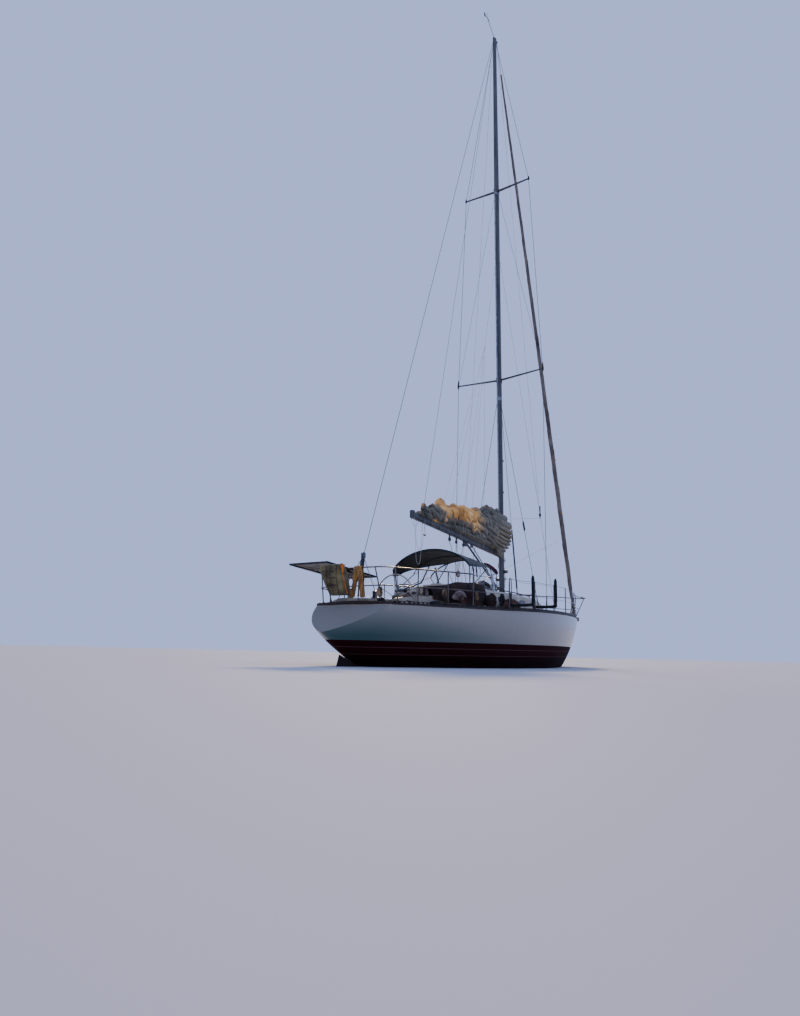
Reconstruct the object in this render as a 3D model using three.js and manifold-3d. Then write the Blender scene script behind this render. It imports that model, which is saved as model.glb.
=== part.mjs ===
// A 39 ft masthead sloop at anchor, afloat, with her mainsail flaked on the boom and her genoa furled.
// Millimetres. +X to the bow, +Y to port, +Z up. The origin is amidships on the centreline, on the waterline.
import * as THREE from "three";
import { mergeVertices } from "three/addons/utils/BufferGeometryUtils.js";
import Module from "manifold-3d";

const wasm = await Module();
wasm.setup();

// Driving dimensions
const GAP = 0.3; // between pieces that touch
const RUNNING_GAP = 0.6; // between a shaft or a runner and what carries it
const MAST_X = 1165; // mast centre at deck level
const MAST_RAKE = 0.02227; // aft lean, mm per mm of height
const MAST_FOOT_Z = 1798;
const MAST_TOP_Z = 18469;
const MAST_LENGTHWISE = 97.5; // half of the mast section, fore and aft
const MAST_ACROSS = 62.5;
const BOOM_PIVOT_X = 975;
const BOOM_PIVOT_Z = 2905;
const BOOM_END_X = -3033;
const BOOM_RISE = 0.1037; // upward slope of the boom towards its aft end
const BOOM_HALF_HEIGHT = 75;
const BOOM_HALF_WIDTH = 50;
const LOWER_SPREADER_Z = 7742;
const LOWER_SPREADER_REACH = 1311;
const LOWER_SPREADER_LIFT = 3.45; // upward slope of the arms, degrees
const UPPER_SPREADER_Z = 13447;
const UPPER_SPREADER_REACH = 1018;
const UPPER_SPREADER_LIFT = 2.09;
const SPREADER_COLLAR = 14; // thickness of the ring round the mast
const LOWER_TANG_Z = 7250; // where the lower shrouds and the baby stay meet the mast
const WIRE_RADIUS = 6;
const STAY_FOOT = [5890, 0, 1432];
const STAY_TOP = [932, 0, 18400];
const TRANSOM_FOOT = [-5910, 634]; // x, z of the aftmost point of the hull
const TRANSOM_HEAD = [-5015, 1180];
const DECK_THICKNESS = 35;
const DECK_CAMBER = 0.038; // rise of the deck at the centreline for each mm of half breadth
const COCKPIT_FLOOR_Z = 770;
const COCKPIT_POCKET = [ // x, half width of the footwell pocket, from aft forward
  [-4450, 655],
  [-3280, 655],
  [-3280, 440],
  [-2080, 440],
];
const CABIN = { aft: -1950, fore: 1700, halfWidth: 800, floor: -350 };
const LOCKER = { aft: -3130, fore: -2420, inner: 540, outer: 880, floor: 820 };
const FOREPEAK = { aft: 2990, fore: 3510, halfWidth: 260, floor: 520 };
const COMPANIONWAY = { aft: -2100, fore: -1390, halfWidth: 320, sill: 1430 };
const RUDDER_AXIS = { x: -4800, z: 25, lean: 0.3249 }; // lean: forward run for each mm up
const STOCK_RADIUS = 30;
const SHAFT_LOW = [-3720, 0, -640];
const SHAFT_HIGH = [-1905, 0, -301];
const SHAFT_RADIUS = 16;
const WHEEL_CENTRE = [-3625, 0, 1440];
const WHEEL_RADIUS = 500;
const RAIL_RADIUS = 14;

// Hull sections: station, half beam at the sheer, sheer height, depth of the canoe body, fullness
const STATIONS = [
  [-5915, 400, 1168, 634, 1.6],
  [-5685, 600, 1170, 504, 1.6],
  [-5345, 815, 1174, 302, 1.5],
  [-5015, 945, 1180, 132, 1.5],
  [-4335, 1220, 1186, -150, 1.7],
  [-3335, 1530, 1197, -380, 2.0],
  [-2335, 1725, 1214, -530, 2.4],
  [-1335, 1835, 1244, -620, 2.6],
  [-335, 1858, 1273, -650, 2.6],
  [665, 1790, 1293, -640, 2.5],
  [1665, 1620, 1309, -590, 2.2],
  [2665, 1355, 1324, -500, 1.9],
  [3665, 1003, 1339, -350, 1.6],
  [4415, 700, 1352, -170, 1.4],
  [5015, 440, 1362, 240, 1.3],
  [5415, 260, 1369, 580, 1.25],
  [5715, 120, 1375, 1045, 1.2],
  [5915, 30, 1379, 1345, 1.2],
];

// Solids

// A closed body from a geometry, turned to face outwards.
function solid(geometry) {
  const bare = geometry.clone();
  for (const name of Object.keys(bare.attributes)) {
    if (name !== "position") bare.deleteAttribute(name);
  }
  const merged = mergeVertices(bare, 1e-3);
  const vertProperties = merged.attributes.position.array;
  const triVerts = new Uint32Array(merged.index.array);
  const made = new wasm.Manifold(new wasm.Mesh({ numProp: 3, vertProperties, triVerts }));
  if (made.volume() > 0) return made;
  return new wasm.Manifold(new wasm.Mesh({ numProp: 3, vertProperties, triVerts: triVerts.reverse() }));
}

const join = (...bodies) => bodies.flat().reduce((all, body) => all.add(body));

const cut = (body, ...tools) => tools.flat().reduce((left, tool) => left.subtract(tool), body);

// Trims a piece where it would reach into what carries it, leaving the touching gap above that.
const seat = (piece, carrier, lift = [0, 0, GAP]) => piece.subtract(carrier.translate(lift));

const mirror = (body) => body.mirror([0, 1, 0]);

function box(low, high) {
  const size = high.map((value, axis) => value - low[axis]);
  const geometry = new THREE.BoxGeometry(...size);
  geometry.translate(...low.map((value, axis) => value + size[axis] / 2));
  return solid(geometry);
}

// A straight round bar from a to b, with its own radius at each end.
function rod(a, b, radius, endRadius = radius, sides = 8) {
  const start = new THREE.Vector3(...a);
  const run = new THREE.Vector3(...b).sub(start);
  const geometry = new THREE.CylinderGeometry(endRadius, radius, run.length(), sides);
  geometry.translate(0, run.length() / 2, 0);
  const turn = new THREE.Quaternion().setFromUnitVectors(new THREE.Vector3(0, 1, 0), run.clone().normalize());
  geometry.applyQuaternion(turn);
  geometry.translate(...a);
  return solid(geometry);
}

// A bent tube along points joined by a smooth curve.
function tube(points, radius, steps, sides = 6) {
  const section = new THREE.Shape();
  for (let i = 0; i < sides; i++) {
    const angle = (i / sides) * 2 * Math.PI;
    const move = i ? "lineTo" : "moveTo";
    section[move](radius * Math.cos(angle), radius * Math.sin(angle));
  }
  section.closePath();
  const path = new THREE.CatmullRomCurve3(points.map((p) => new THREE.Vector3(...p)), false, "centripetal");
  return solid(new THREE.ExtrudeGeometry(section, { steps, extrudePath: path, bevelEnabled: false }));
}

// A closed solid through rings with the same number of points, each ring listed the same way round.
function loft(rings) {
  const count = rings[0].length;
  const index = [];
  for (let i = 0; i < rings.length - 1; i++) {
    for (let j = 0; j < count; j++) {
      const a = i * count + j;
      const b = i * count + ((j + 1) % count);
      index.push(a, b, b + count, a, b + count, a + count);
    }
  }
  const last = (rings.length - 1) * count;
  for (let j = 1; j < count - 1; j++) {
    index.push(0, j + 1, j);
    index.push(last, last + j, last + j + 1);
  }
  const geometry = new THREE.BufferGeometry();
  geometry.setAttribute("position", new THREE.Float32BufferAttribute(rings.flat(2), 3));
  geometry.setIndex(index);
  return solid(geometry);
}

// A turned piece on an upright axis: profile rows are radius, height.
function turned(profile, centre, sides = 16) {
  const points = profile.map(([radius, height]) => new THREE.Vector2(radius, height));
  const geometry = new THREE.LatheGeometry(points, sides);
  geometry.rotateX(Math.PI / 2);
  geometry.translate(...centre);
  return solid(geometry);
}

// An outline in plan, listed as x, y pairs, between two heights.
function slab(outline, low, high) {
  const shape = new THREE.Shape(outline.map(([x, y]) => new THREE.Vector2(x, y)));
  const geometry = new THREE.ExtrudeGeometry(shape, { depth: high - low, bevelEnabled: false });
  geometry.translate(0, 0, low);
  return solid(geometry);
}

// A foil section at one height: nose x, tail x and half thickness.
function foilRing(nose, tail, halfThickness, z) {
  const chord = nose - tail;
  const half = [
    [0.05, 0.55],
    [0.2, 0.95],
    [0.4, 1],
    [0.7, 0.6],
  ];
  const port = half.map(([along, thick]) => [nose - along * chord, thick * halfThickness, z]);
  const starboard = half.map(([along, thick]) => [nose - along * chord, -thick * halfThickness, z]).reverse();
  return [[nose, 0, z], ...port, [tail, 0, z], ...starboard];
}

// Hull form

// The hull's sizes at any station, straight between the rows of the table.
function hullAt(x) {
  const next = Math.max(1, STATIONS.findIndex((row) => row[0] >= x));
  const [low, high] = [STATIONS[next - 1], STATIONS[next]];
  const share = (x - low[0]) / (high[0] - low[0]);
  const [, beam, sheer, depth] = low.map((value, column) => value + share * (high[column] - value));
  return { beam, sheer, depth };
}

function hullRing([x, beam, sheer, depth, fullness]) {
  const steps = 8;
  const side = [];
  for (let i = 1; i <= steps; i++) {
    const angle = (i / steps) * (Math.PI / 2);
    const power = 2 / fullness;
    side.push([beam * Math.sin(angle) ** power, sheer - (sheer - depth) * Math.cos(angle) ** power]);
  }
  const port = side.map(([y, z]) => [x, y, z]);
  const starboard = side.map(([y, z]) => [x, -y, z]).reverse();
  return [...starboard, [x, 0, depth], ...port];
}

function deckRing([x, beam, sheer]) {
  const edge = sheer + DECK_THICKNESS;
  const rise = DECK_CAMBER * beam;
  return [
    [x, -beam, sheer + GAP],
    [x, -beam, edge],
    [x, -0.6 * beam, edge + 0.64 * rise],
    [x, 0, edge + rise],
    [x, 0.6 * beam, edge + 0.64 * rise],
    [x, beam, edge],
    [x, beam, sheer + GAP],
  ];
}

const deckEdge = (x) => hullAt(x).sheer + DECK_THICKNESS;

// Everything beyond the raked transom.
function beyondTransom() {
  const [x0, z0] = TRANSOM_FOOT;
  const [x1, z1] = TRANSOM_HEAD;
  const slope = (z1 - z0) / (x1 - x0);
  const reach = 1500;
  const at = (x) => z0 + (x - x0) * slope;
  const outline = [
    [x0 - reach, at(x0 - reach)],
    [x1 + reach, at(x1 + reach)],
    [x1 + reach, 4000],
    [x0 - reach, 4000],
  ];
  return loft([-2000, 2000].map((y) => outline.map(([x, z]) => [x, y, z])));
}

const shaftAt = (x) => {
  const share = (x - SHAFT_LOW[0]) / (SHAFT_HIGH[0] - SHAFT_LOW[0]);
  return [x, 0, SHAFT_LOW[2] + share * (SHAFT_HIGH[2] - SHAFT_LOW[2])];
};

const stockAt = (z) => [RUDDER_AXIS.x + (z - RUDDER_AXIS.z) * RUDDER_AXIS.lean, 0, z];

const footwell = (inset) => {
  const outline = COCKPIT_POCKET.map(([x, half], i) => {
    const ends = { 0: inset, 3: -inset };
    const step = i === 1 || i === 2 ? -inset : 0;
    return [x + (ends[i] ?? step), half - inset];
  });
  return [...outline, ...outline.map(([x, y]) => [x, -y]).reverse()];
};

const lockerPocket = (low, high) =>
  [1, -1].map((side) => {
    const [a, b] = [side * LOCKER.inner, side * LOCKER.outer].sort((p, q) => p - q);
    return box([LOCKER.aft, a, low], [LOCKER.fore, b, high]);
  });

const forepeak = (low, high) =>
  box([FOREPEAK.aft, -FOREPEAK.halfWidth, low], [FOREPEAK.fore, FOREPEAK.halfWidth, high]);

const cabinWell = (low, high) =>
  box([CABIN.aft, -CABIN.halfWidth, low], [CABIN.fore, CABIN.halfWidth, high]);

const transomTool = beyondTransom();
const hullForm = cut(loft(STATIONS.map(hullRing)), transomTool);
const hull = cut(
  hullForm,
  slab(footwell(0), COCKPIT_FLOOR_Z - 25, 1400),
  cabinWell(CABIN.floor, 1500),
  lockerPocket(LOCKER.floor, 1400),
  forepeak(FOREPEAK.floor, 1500),
  rod(stockAt(-200), stockAt(560), STOCK_RADIUS + RUNNING_GAP, STOCK_RADIUS + RUNNING_GAP, 24),
  rod(shaftAt(-3300), shaftAt(-1900), SHAFT_RADIUS + RUNNING_GAP, SHAFT_RADIUS + RUNNING_GAP, 16),
);
const underHull = [0, 0, -GAP];

const keelRings = [ // height, nose, tail, half thickness
  [-450, 1520, -560, 118],
  [-1200, 1230, -540, 108],
  [-1880, 960, -500, 96],
  [-1950, 900, -470, 70],
];
const keel = seat(
  loft(keelRings.map(([z, nose, tail, half]) => foilRing(nose, tail, half, z))),
  hullForm,
  underHull,
);

const skegRings = [ // height, nose
  [150, -4010],
  [-600, -4420],
  [-1380, -4890],
];
const skeg = seat(
  loft(skegRings.map(([z, nose]) => {
    const tail = stockAt(z)[0] + 64;
    const ring = [
      [nose, 0],
      [nose - 60, 22],
      [nose - 180, 38],
      [tail, 40],
      [tail, -40],
      [nose - 180, -38],
      [nose - 60, -22],
    ];
    return ring.map(([x, y]) => [x, y, z]);
  })),
  hullForm,
  underHull,
);

// Rudder: blade hung on a stock that leans with its head forward
function makeRudder() {
  const rows = [ // height, trailing edge
    [330, -5330],
    [0, -5435],
    [-700, -5600],
    [-1420, -5690],
  ];
  const rings = rows.map(([z, tail]) => {
    const axis = stockAt(z)[0];
    const ring = [
      [axis + 44, 0],
      [axis + 32, 30],
      [axis, 42],
      [axis - 180, 38],
      [tail, 6],
      [tail, -6],
      [axis - 180, -38],
      [axis, -42],
      [axis + 32, -30],
    ];
    return ring.map(([x, y]) => [x, y, z]);
  });
  const topSlope = 0.42;
  const [pivotX] = stockAt(0);
  const above = (x) => -6 + (pivotX - x) * topSlope;
  const outline = [
    [pivotX + 400, above(pivotX + 400)],
    [pivotX - 1200, above(pivotX - 1200)],
    [pivotX - 1200, 2000],
    [pivotX + 400, 2000],
  ];
  const over = loft([-300, 300].map((y) => outline.map(([x, z]) => [x, y, z])));
  const stock = rod(stockAt(-300), stockAt(550), STOCK_RADIUS, STOCK_RADIUS, 24);
  return join(cut(loft(rings), over), stock);
}

// Propeller, its shaft and the strut that carries it
function makePropeller() {
  const hub = rod(shaftAt(-3790), shaftAt(-3650), 38, 30, 12);
  const shaft = rod(shaftAt(-3700), shaftAt(-1906), SHAFT_RADIUS, SHAFT_RADIUS, 16);
  const centre = new THREE.Vector3(...SHAFT_LOW);
  const along = new THREE.Vector3(...SHAFT_HIGH).sub(centre).normalize();
  const blades = [0, 1, 2].map((i) => {
    const rows = [ // radius, half chord, twist in degrees
      [20, 40, 62],
      [110, 92, 38],
      [180, 88, 28],
      [218, 40, 23],
    ];
    const rings = rows.map(([radius, half, twist]) => {
      const t = (twist * Math.PI) / 180;
      const thick = 7 - radius / 50;
      const ring = [[half, 0], [0, thick], [-half, 0], [0, -thick]];
      return ring.map(([u, v]) => [
        u * Math.sin(t) + v * Math.cos(t),
        u * Math.cos(t) - v * Math.sin(t),
        radius,
      ]);
    });
    const turn = new THREE.Matrix4()
      .makeTranslation(centre)
      .multiply(new THREE.Matrix4().makeRotationFromQuaternion(
        new THREE.Quaternion().setFromUnitVectors(new THREE.Vector3(1, 0, 0), along)))
      .multiply(new THREE.Matrix4().makeRotationX((i * 2 * Math.PI) / 3));
    return loft(rings.map((ring) => ring.map((p) => new THREE.Vector3(...p).applyMatrix4(turn).toArray())));
  });
  return join(hub, shaft, blades);
}

function makeShaftStrut() {
  const barrel = rod(shaftAt(-3620), shaftAt(-3490), 34, 34, 16);
  const [, , axisZ] = shaftAt(-3555);
  const arm = loft([axisZ, -200].map((z) => [
    [-3495, 0, z],
    [-3530, 9, z],
    [-3580, 9, z],
    [-3615, 0, z],
    [-3580, -9, z],
    [-3530, -9, z],
  ]));
  const boreRadius = SHAFT_RADIUS + RUNNING_GAP;
  const bore = rod(shaftAt(-3700), shaftAt(-3400), boreRadius, boreRadius, 16);
  return cut(seat(join(barrel, arm), hullForm, underHull), bore);
}

const engine = join(
  box([-1900, -230, CABIN.floor + GAP], [-1250, 230, 60]),
  box([-1800, -160, 50], [-1300, 160, 260]),
);

// Deck and superstructure
const deckForm = cut(loft(STATIONS.slice(2).map(deckRing)), transomTool);
const deckMass = join(deckForm, hullForm.translate([0, 0, 1]));
const deck = cut(
  deckForm,
  slab(footwell(0), 1000, 1500),
  cabinWell(1000, 1500),
  lockerPocket(1000, 1500),
  forepeak(1000, 1500),
);

const cockpitTub = cut(
  slab(footwell(GAP), COCKPIT_FLOOR_Z - 25 + GAP, 1275),
  slab(footwell(25), COCKPIT_FLOOR_Z, 1400),
);

const COACHROOF_ROWS = [ // station, half width at deck, half width of top, top height
  [-2000, 1120, 1040, 1815],
  [-1000, 1120, 1040, 1810],
  [0, 1080, 1000, 1805],
  [1165, 960, 880, 1795],
  [1900, 800, 720, 1770],
  [2400, 640, 560, 1725],
  [2780, 520, 430, 1450],
];

function coachroofRing([x, foot, top, height], inset = 0) {
  const low = 1190 - inset * 3;
  const side = [
    [foot - inset, low],
    [top + 20 - inset, height - 120 - inset],
    [top - 40 - inset, height - 58 - inset],
    [top * 0.5, height - 14 - inset],
  ];
  const port = side.map(([y, z]) => [x, y, z]);
  const starboard = side.map(([y, z]) => [x, -y, z]).reverse();
  return [...port, [x, 0, height - inset], ...starboard];
}

function makeCoachroof() {
  const wall = 40;
  const outer = loft(COACHROOF_ROWS.map((row) => coachroofRing(row)));
  const innerRows = COACHROOF_ROWS.slice(0, 6).map(([x, ...rest]) => [x, ...rest]);
  innerRows[0][0] += wall;
  const inner = loft(innerRows.map((row) => coachroofRing(row, wall)));
  const entry = box(
    [COMPANIONWAY.aft, -COMPANIONWAY.halfWidth, COMPANIONWAY.sill],
    [COMPANIONWAY.fore, COMPANIONWAY.halfWidth, 1900],
  );
  const runners = [-1, 1].map((side) => {
    const [a, b] = [side * 328, side * 352].sort((p, q) => p - q);
    return box([-1998, a, 1770], [-760, b, 1822]);
  });
  const hoodBlock = box([-1362, -400, 1760], [-680, 400, 1880]);
  const hood = cut(hoodBlock, box([-1400, -364, 1700], [-700, 364, 1858]));
  const mass = join(outer, hoodBlock);
  return { coachroof: seat(cut(join(outer, hood, runners), inner, entry), deckMass), mass };
}
const { coachroof, mass: coachroofMass } = makeCoachroof();

const hatchSlide = { bottom: 1822 + RUNNING_GAP, top: 1850 };
const companionwayHatch = join(
  box([-2030, -356, hatchSlide.bottom], [-1370, 356, hatchSlide.top]),
  box([-2030, -140, hatchSlide.top - 5], [-2000, 140, hatchSlide.top + 24]),
);
const washboards = box(
  [-1992, -COMPANIONWAY.halfWidth + GAP, COMPANIONWAY.sill + GAP],
  [-1968, COMPANIONWAY.halfWidth - GAP, 1815],
);

function makeCoaming() {
  const rows = [ // station, inner face, outer face, top
    [-4650, 730, 830, 1330],
    [-4300, 830, 965, 1400],
    [-3300, 985, 1160, 1470],
    [-2008, 1020, 1200, 1520],
  ];
  const rings = rows.map(([x, inner, outer, top]) => [
    [x, outer + 25, 1150],
    [x, outer, top - 20],
    [x, outer - 25, top],
    [x, inner + 10, top],
    [x, inner - 5, 1150],
  ]);
  return seat(loft(rings), deckMass);
}
const coamingPort = makeCoaming();

function makeSeatLid() {
  const plate = box(
    [LOCKER.aft - 25, LOCKER.inner - 25, 1200],
    [LOCKER.fore + 25, LOCKER.outer + 25, 1306],
  );
  return seat(plate, deckMass, [0, 0, RUNNING_GAP]);
}
const seatLidPort = makeSeatLid();

function makeToeRail() {
  const rows = STATIONS.filter(([x]) => x > -4400 && x < 5600).map(([x]) => x);
  const stations = [-4880, ...rows, 5640];
  const rings = stations.map((x) => {
    const { beam } = hullAt(x);
    const top = deckEdge(x) + 48;
    return [
      [x, beam - 15, top - 90],
      [x, beam - 15, top],
      [x, beam - 45, top],
      [x, beam - 45, top - 90],
    ];
  });
  const cleats = [-4550, 4450].map((x) => {
    const y = hullAt(x).beam - 75;
    const z = deckEdge(x);
    return join(
      box([x - 60, y - 25, z - 40], [x + 60, y + 45, z + 18]),
      box([x - 18, y - 12, z], [x + 18, y + 12, z + 50]),
      rod([x - 110, y, z + 55], [x + 110, y, z + 55], 14),
    );
  });
  return seat(join(loft(rings), cleats), deckMass);
}
const toeRailPort = makeToeRail();

function makeSternCapRail() {
  const along = [-930, -579, 0, 579, 930];
  const rings = along.map((y) => {
    const share = Math.abs(y) / 579;
    const rise = share <= 1 ? 1 - 0.36 * share : 0.64 - 0.64 * (share - 1) / 0.65;
    const z = 1216 + 36 * Math.max(rise, 0.05);
    return [
      [-4930, y, z - 30],
      [-4930, y, z + 26],
      [-4985, y, z + 26],
      [-4985, y, z - 30],
    ];
  });
  return seat(loft(rings), deckMass);
}

// Ground tackle and foredeck
const bowRoller = seat(
  cut(
    join(
      box([5560, -70, 1380], [6080, 70, 1436]),
      box([5960, -70, 1400], [6080, 70, 1500]),
      box([5840, -24, 1400], [5940, 24, 1432]),
    ),
    box([5950, -50, 1445], [6100, 50, 1600]),
  ),
  deckMass,
);
const windlass = seat(
  join(
    box([4560, -110, 1340], [4800, 110, 1440]),
    rod([4680, -150, 1500], [4680, 150, 1500], 55, 55, 12),
    box([4620, -60, 1420], [4740, 60, 1560]),
  ),
  deckMass,
);
const foredeckHatch = seat(
  box(
    [FOREPEAK.aft - 30, -FOREPEAK.halfWidth - 30, 1340],
    [FOREPEAK.fore + 30, FOREPEAK.halfWidth + 30, 1450],
  ),
  deckMass,
  [0, 0, RUNNING_GAP],
);

// Mast and rig
const mastAt = (z) => MAST_X - (z - 1500) * MAST_RAKE;

function mastRing(z, scale, grow = 0) {
  const sides = 16;
  return Array.from({ length: sides }, (_, i) => {
    const angle = (i / sides) * 2 * Math.PI;
    return [
      mastAt(z) + (MAST_LENGTHWISE * scale + grow) * Math.cos(angle),
      (MAST_ACROSS * scale + grow) * Math.sin(angle),
      z,
    ];
  });
}

const mastLoft = (grow, low = MAST_FOOT_Z) =>
  loft([
    mastRing(low, 1, grow),
    mastRing(13500, 1, grow),
    mastRing(MAST_TOP_Z, 0.72, grow),
  ]);
const mastSheath = mastLoft(0.4, 1700);

const CRANE = { aft: 720, fore: 940, low: 18410, high: 18470 };
const craneClear = box([CRANE.aft - 5, -22.4, CRANE.low - 10], [CRANE.fore + 0.4, 22.4, CRANE.high + 10]);

function makeMast() {
  const foot = box([1030, -100, 1790], [1290, 100, 1830]);
  const crane = box([CRANE.aft, -22, CRANE.low], [CRANE.fore, 22, CRANE.high]);
  const bracket = join(
    box([945, -34, 2830], [1080, 34, 2846]),
    box([945, -34, 2964], [1080, 34, 2980]),
    rod([BOOM_PIVOT_X, 0, 2810], [BOOM_PIVOT_X, 0, 3000], 10, 10, 12),
  );
  const vangLug = join(
    box([950, -26, 1960], [1080, 26, 1972]),
    box([950, -26, 2018], [1080, 26, 2030]),
    rod([BOOM_PIVOT_X, 0, 1950], [BOOM_PIVOT_X, 0, 2040], 8, 8, 12),
  );
  const winches = [[2250, 1], [2450, -1]].map(([z, side]) =>
    rod([mastAt(z), side * 40, z], [mastAt(z), side * 165, z], 50, 42, 12));
  const lights = [[4630, 22], [5500, 26]].map(([z, radius]) =>
    rod([mastAt(z) + 80, 0, z], [mastAt(z) + 160, 0, z], radius, radius, 8));
  const mast = join(mastLoft(0, 1700), foot, crane, bracket, vangLug, winches, lights);
  return seat(mast, coachroofMass);
}

function makeSpreaders(z, reach, liftDegrees) {
  const rise = Math.tan((liftDegrees * Math.PI) / 180);
  const arms = [-1, 1].map((side) => {
    const rows = [
      [20, 55, 22],
      [reach - WIRE_RADIUS * 1.4 - 2 * GAP, 34, 15],
    ];
    return loft(rows.map(([y, half, thick]) => {
      const x = mastAt(z);
      const height = z + y * rise;
      const ring = [
        [x + half, height],
        [x + half * 0.4, height + thick],
        [x - half * 0.6, height + thick * 0.8],
        [x - half, height],
        [x - half * 0.6, height - thick * 0.8],
        [x + half * 0.4, height - thick],
      ];
      return ring.map(([px, pz]) => [px, side * y, pz]);
    }));
  });
  const ring = loft([mastRing(z - 60, 1, SPREADER_COLLAR), mastRing(z + 60, 1, SPREADER_COLLAR)]);
  return cut(join(arms, ring), mastSheath);
}

const spreaderTip = (z, reach, liftDegrees) =>
  [mastAt(z), reach, z + reach * Math.tan((liftDegrees * Math.PI) / 180)];
const lowerTip = spreaderTip(LOWER_SPREADER_Z, LOWER_SPREADER_REACH, LOWER_SPREADER_LIFT);
const upperTip = spreaderTip(UPPER_SPREADER_Z, UPPER_SPREADER_REACH, UPPER_SPREADER_LIFT);

// A wire's foot: a plate and a turnbuckle.
function chainplate([x, y, z], direction) {
  const up = new THREE.Vector3(...direction).normalize();
  const from = new THREE.Vector3(x, y, z);
  const point = (distance) => from.clone().addScaledVector(up, distance).toArray();
  return [
    box([x - 45, y - 28, z - 25], [x + 45, y + 28, z + 28]),
    rod(point(-10), point(130), 9),
    rod(point(120), point(400), 15, 15, 6),
  ];
}

// A wire that runs nearly upright through its points, as one body with level rings.
function wire(points, radius = WIRE_RADIUS) {
  return loft(points.map(([x, y, z]) => Array.from({ length: 6 }, (_, i) => {
    const angle = (i / 6) * 2 * Math.PI + 0.2;
    return [x + radius * Math.cos(angle), y + radius * Math.sin(angle), z];
  })));
}

const towards = (a, b) => b.map((value, axis) => value - a[axis]);

function makeCapShroud() {
  const foot = [1000, 1350, 1345];
  const head = [mastAt(18380), 30, 18380];
  const route = [foot, lowerTip, upperTip, head];
  const made = join(wire(route), chainplate(foot, towards(foot, lowerTip)));
  return seat(cut(made, mastSheath), deckMass);
}

function makeLowerShroud() {
  const foot = [1100, 1100, 1360];
  const head = [mastAt(LOWER_TANG_Z) - 30, 30, LOWER_TANG_Z];
  const made = join(wire([foot, head]), chainplate(foot, towards(foot, head)));
  return seat(cut(made, mastSheath), deckMass);
}

// The stay from the coachroof up to the mast's fore face
function makeBabyStay() {
  const foot = [2060, 0, 1744];
  const head = [mastAt(LOWER_TANG_Z) + 60, 0, LOWER_TANG_Z];
  const made = join(wire([foot, head]), chainplate(foot, towards(foot, head)));
  return seat(cut(made, mastSheath), coachroofMass);
}

function makeBackstay() {
  const plate = [-4715, 0, 2200];
  const legs = [-1, 1].map((side) => {
    const foot = [-4890, side * 560, 1225];
    return join(rod(foot, plate, 7, 7, 6), box(
      [foot[0] - 40, foot[1] - 25, 1190],
      [foot[0] + 40, foot[1] + 25, 1252],
    ));
  });
  const head = [745, 0, 18440];
  const made = join(
    rod(plate, head, WIRE_RADIUS, WIRE_RADIUS, 6),
    box([-4745, -40, 2150], [-4690, 40, 2260]),
    legs,
  );
  return cut(seat(made, deckMass), craneClear, mastSheath);
}

const stayAt = (z) => {
  const share = (z - STAY_FOOT[2]) / (STAY_TOP[2] - STAY_FOOT[2]);
  return [STAY_FOOT[0] + share * (STAY_TOP[0] - STAY_FOOT[0]), 0, z];
};
const stayBore = rod(stayAt(1400), stayAt(18300), WIRE_RADIUS + GAP * 3, WIRE_RADIUS + GAP * 3, 8);

function makeForestay() {
  const made = rod(stayAt(1425), STAY_TOP, WIRE_RADIUS, WIRE_RADIUS, 8);
  return cut(made, bowRoller.translate([0, 0, GAP]), craneClear, mastSheath);
}

function makeFurledGenoa() {
  const rows = [ // height, radius of the roll
    [1950, 40],
    [2500, 68],
    [6000, 72],
    [12000, 60],
    [17520, 30],
  ];
  const rings = rows.map(([z, radius]) => Array.from({ length: 10 }, (_, i) => {
    const angle = (i / 10) * 2 * Math.PI;
    return [stayAt(z)[0] + radius * Math.cos(angle), radius * Math.sin(angle), z];
  }));
  return cut(loft(rings), stayBore);
}

function makeFurlerDrum() {
  const drum = join(
    rod(stayAt(1560), stayAt(1580), 85, 85, 16),
    rod(stayAt(1575), stayAt(1690), 58, 58, 12),
    rod(stayAt(1685), stayAt(1705), 85, 85, 16),
    rod(stayAt(1700), stayAt(1938), 32, 32, 10),
    rod(stayAt(1452), stayAt(1570), 22, 22, 8),
  );
  return cut(drum, stayBore, bowRoller.translate([0, 0, GAP]));
}

// Boom, its flaked sail and its strut
const boomAt = (x) => [x, 0, BOOM_PIVOT_Z + (BOOM_PIVOT_X - x) * BOOM_RISE];

function boomRing(x, grow = 0) {
  const [, , z] = boomAt(x);
  const [w, h] = [BOOM_HALF_WIDTH + grow, BOOM_HALF_HEIGHT + grow];
  const outline = [
    [-w, -h * 0.55],
    [-w * 0.6, -h],
    [w * 0.6, -h],
    [w, -h * 0.55],
    [w, h * 0.55],
    [w * 0.6, h],
    [-w * 0.6, h],
    [-w, h * 0.55],
  ];
  return outline.map(([y, up]) => [x, y, z + up]);
}

function makeBoom() {
  const spar = loft([boomRing(925), boomRing(BOOM_END_X)]);
  const eye = join(
    box([880, -22, 2852], [1000, 22, 2958]),
    box([BOOM_END_X - 30, -40, 3250], [BOOM_END_X + 60, 40, 3420]),
  );
  const pinBore = rod([BOOM_PIVOT_X, 0, 2700], [BOOM_PIVOT_X, 0, 3100], 10.7, 10.7, 12);
  const bails = [-1454, -1148, -817].map((x) => {
    const [, , z] = boomAt(x);
    return box([x - 12, -18, z - 130], [x + 12, 18, z - 60]);
  });
  const trimmed = cut(spar, box([920, -80, 2700], [1200, 80, 3100]));
  return cut(join(trimmed, eye, bails), pinBore);
}

// Flaked sail: station, lowest and highest point above the boom's top, half width
const SAIL_ROWS = [
  [-2780, 0, 120, 70],
  [-2350, 0, 240, 130],
  [-1850, 0, 420, 170],
  [-1250, 0, 430, 210],
  [-550, 0, 520, 240],
  [150, 0, 700, 270],
  [620, 0, 860, 290],
  [900, 0, 740, 240],
];

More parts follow.
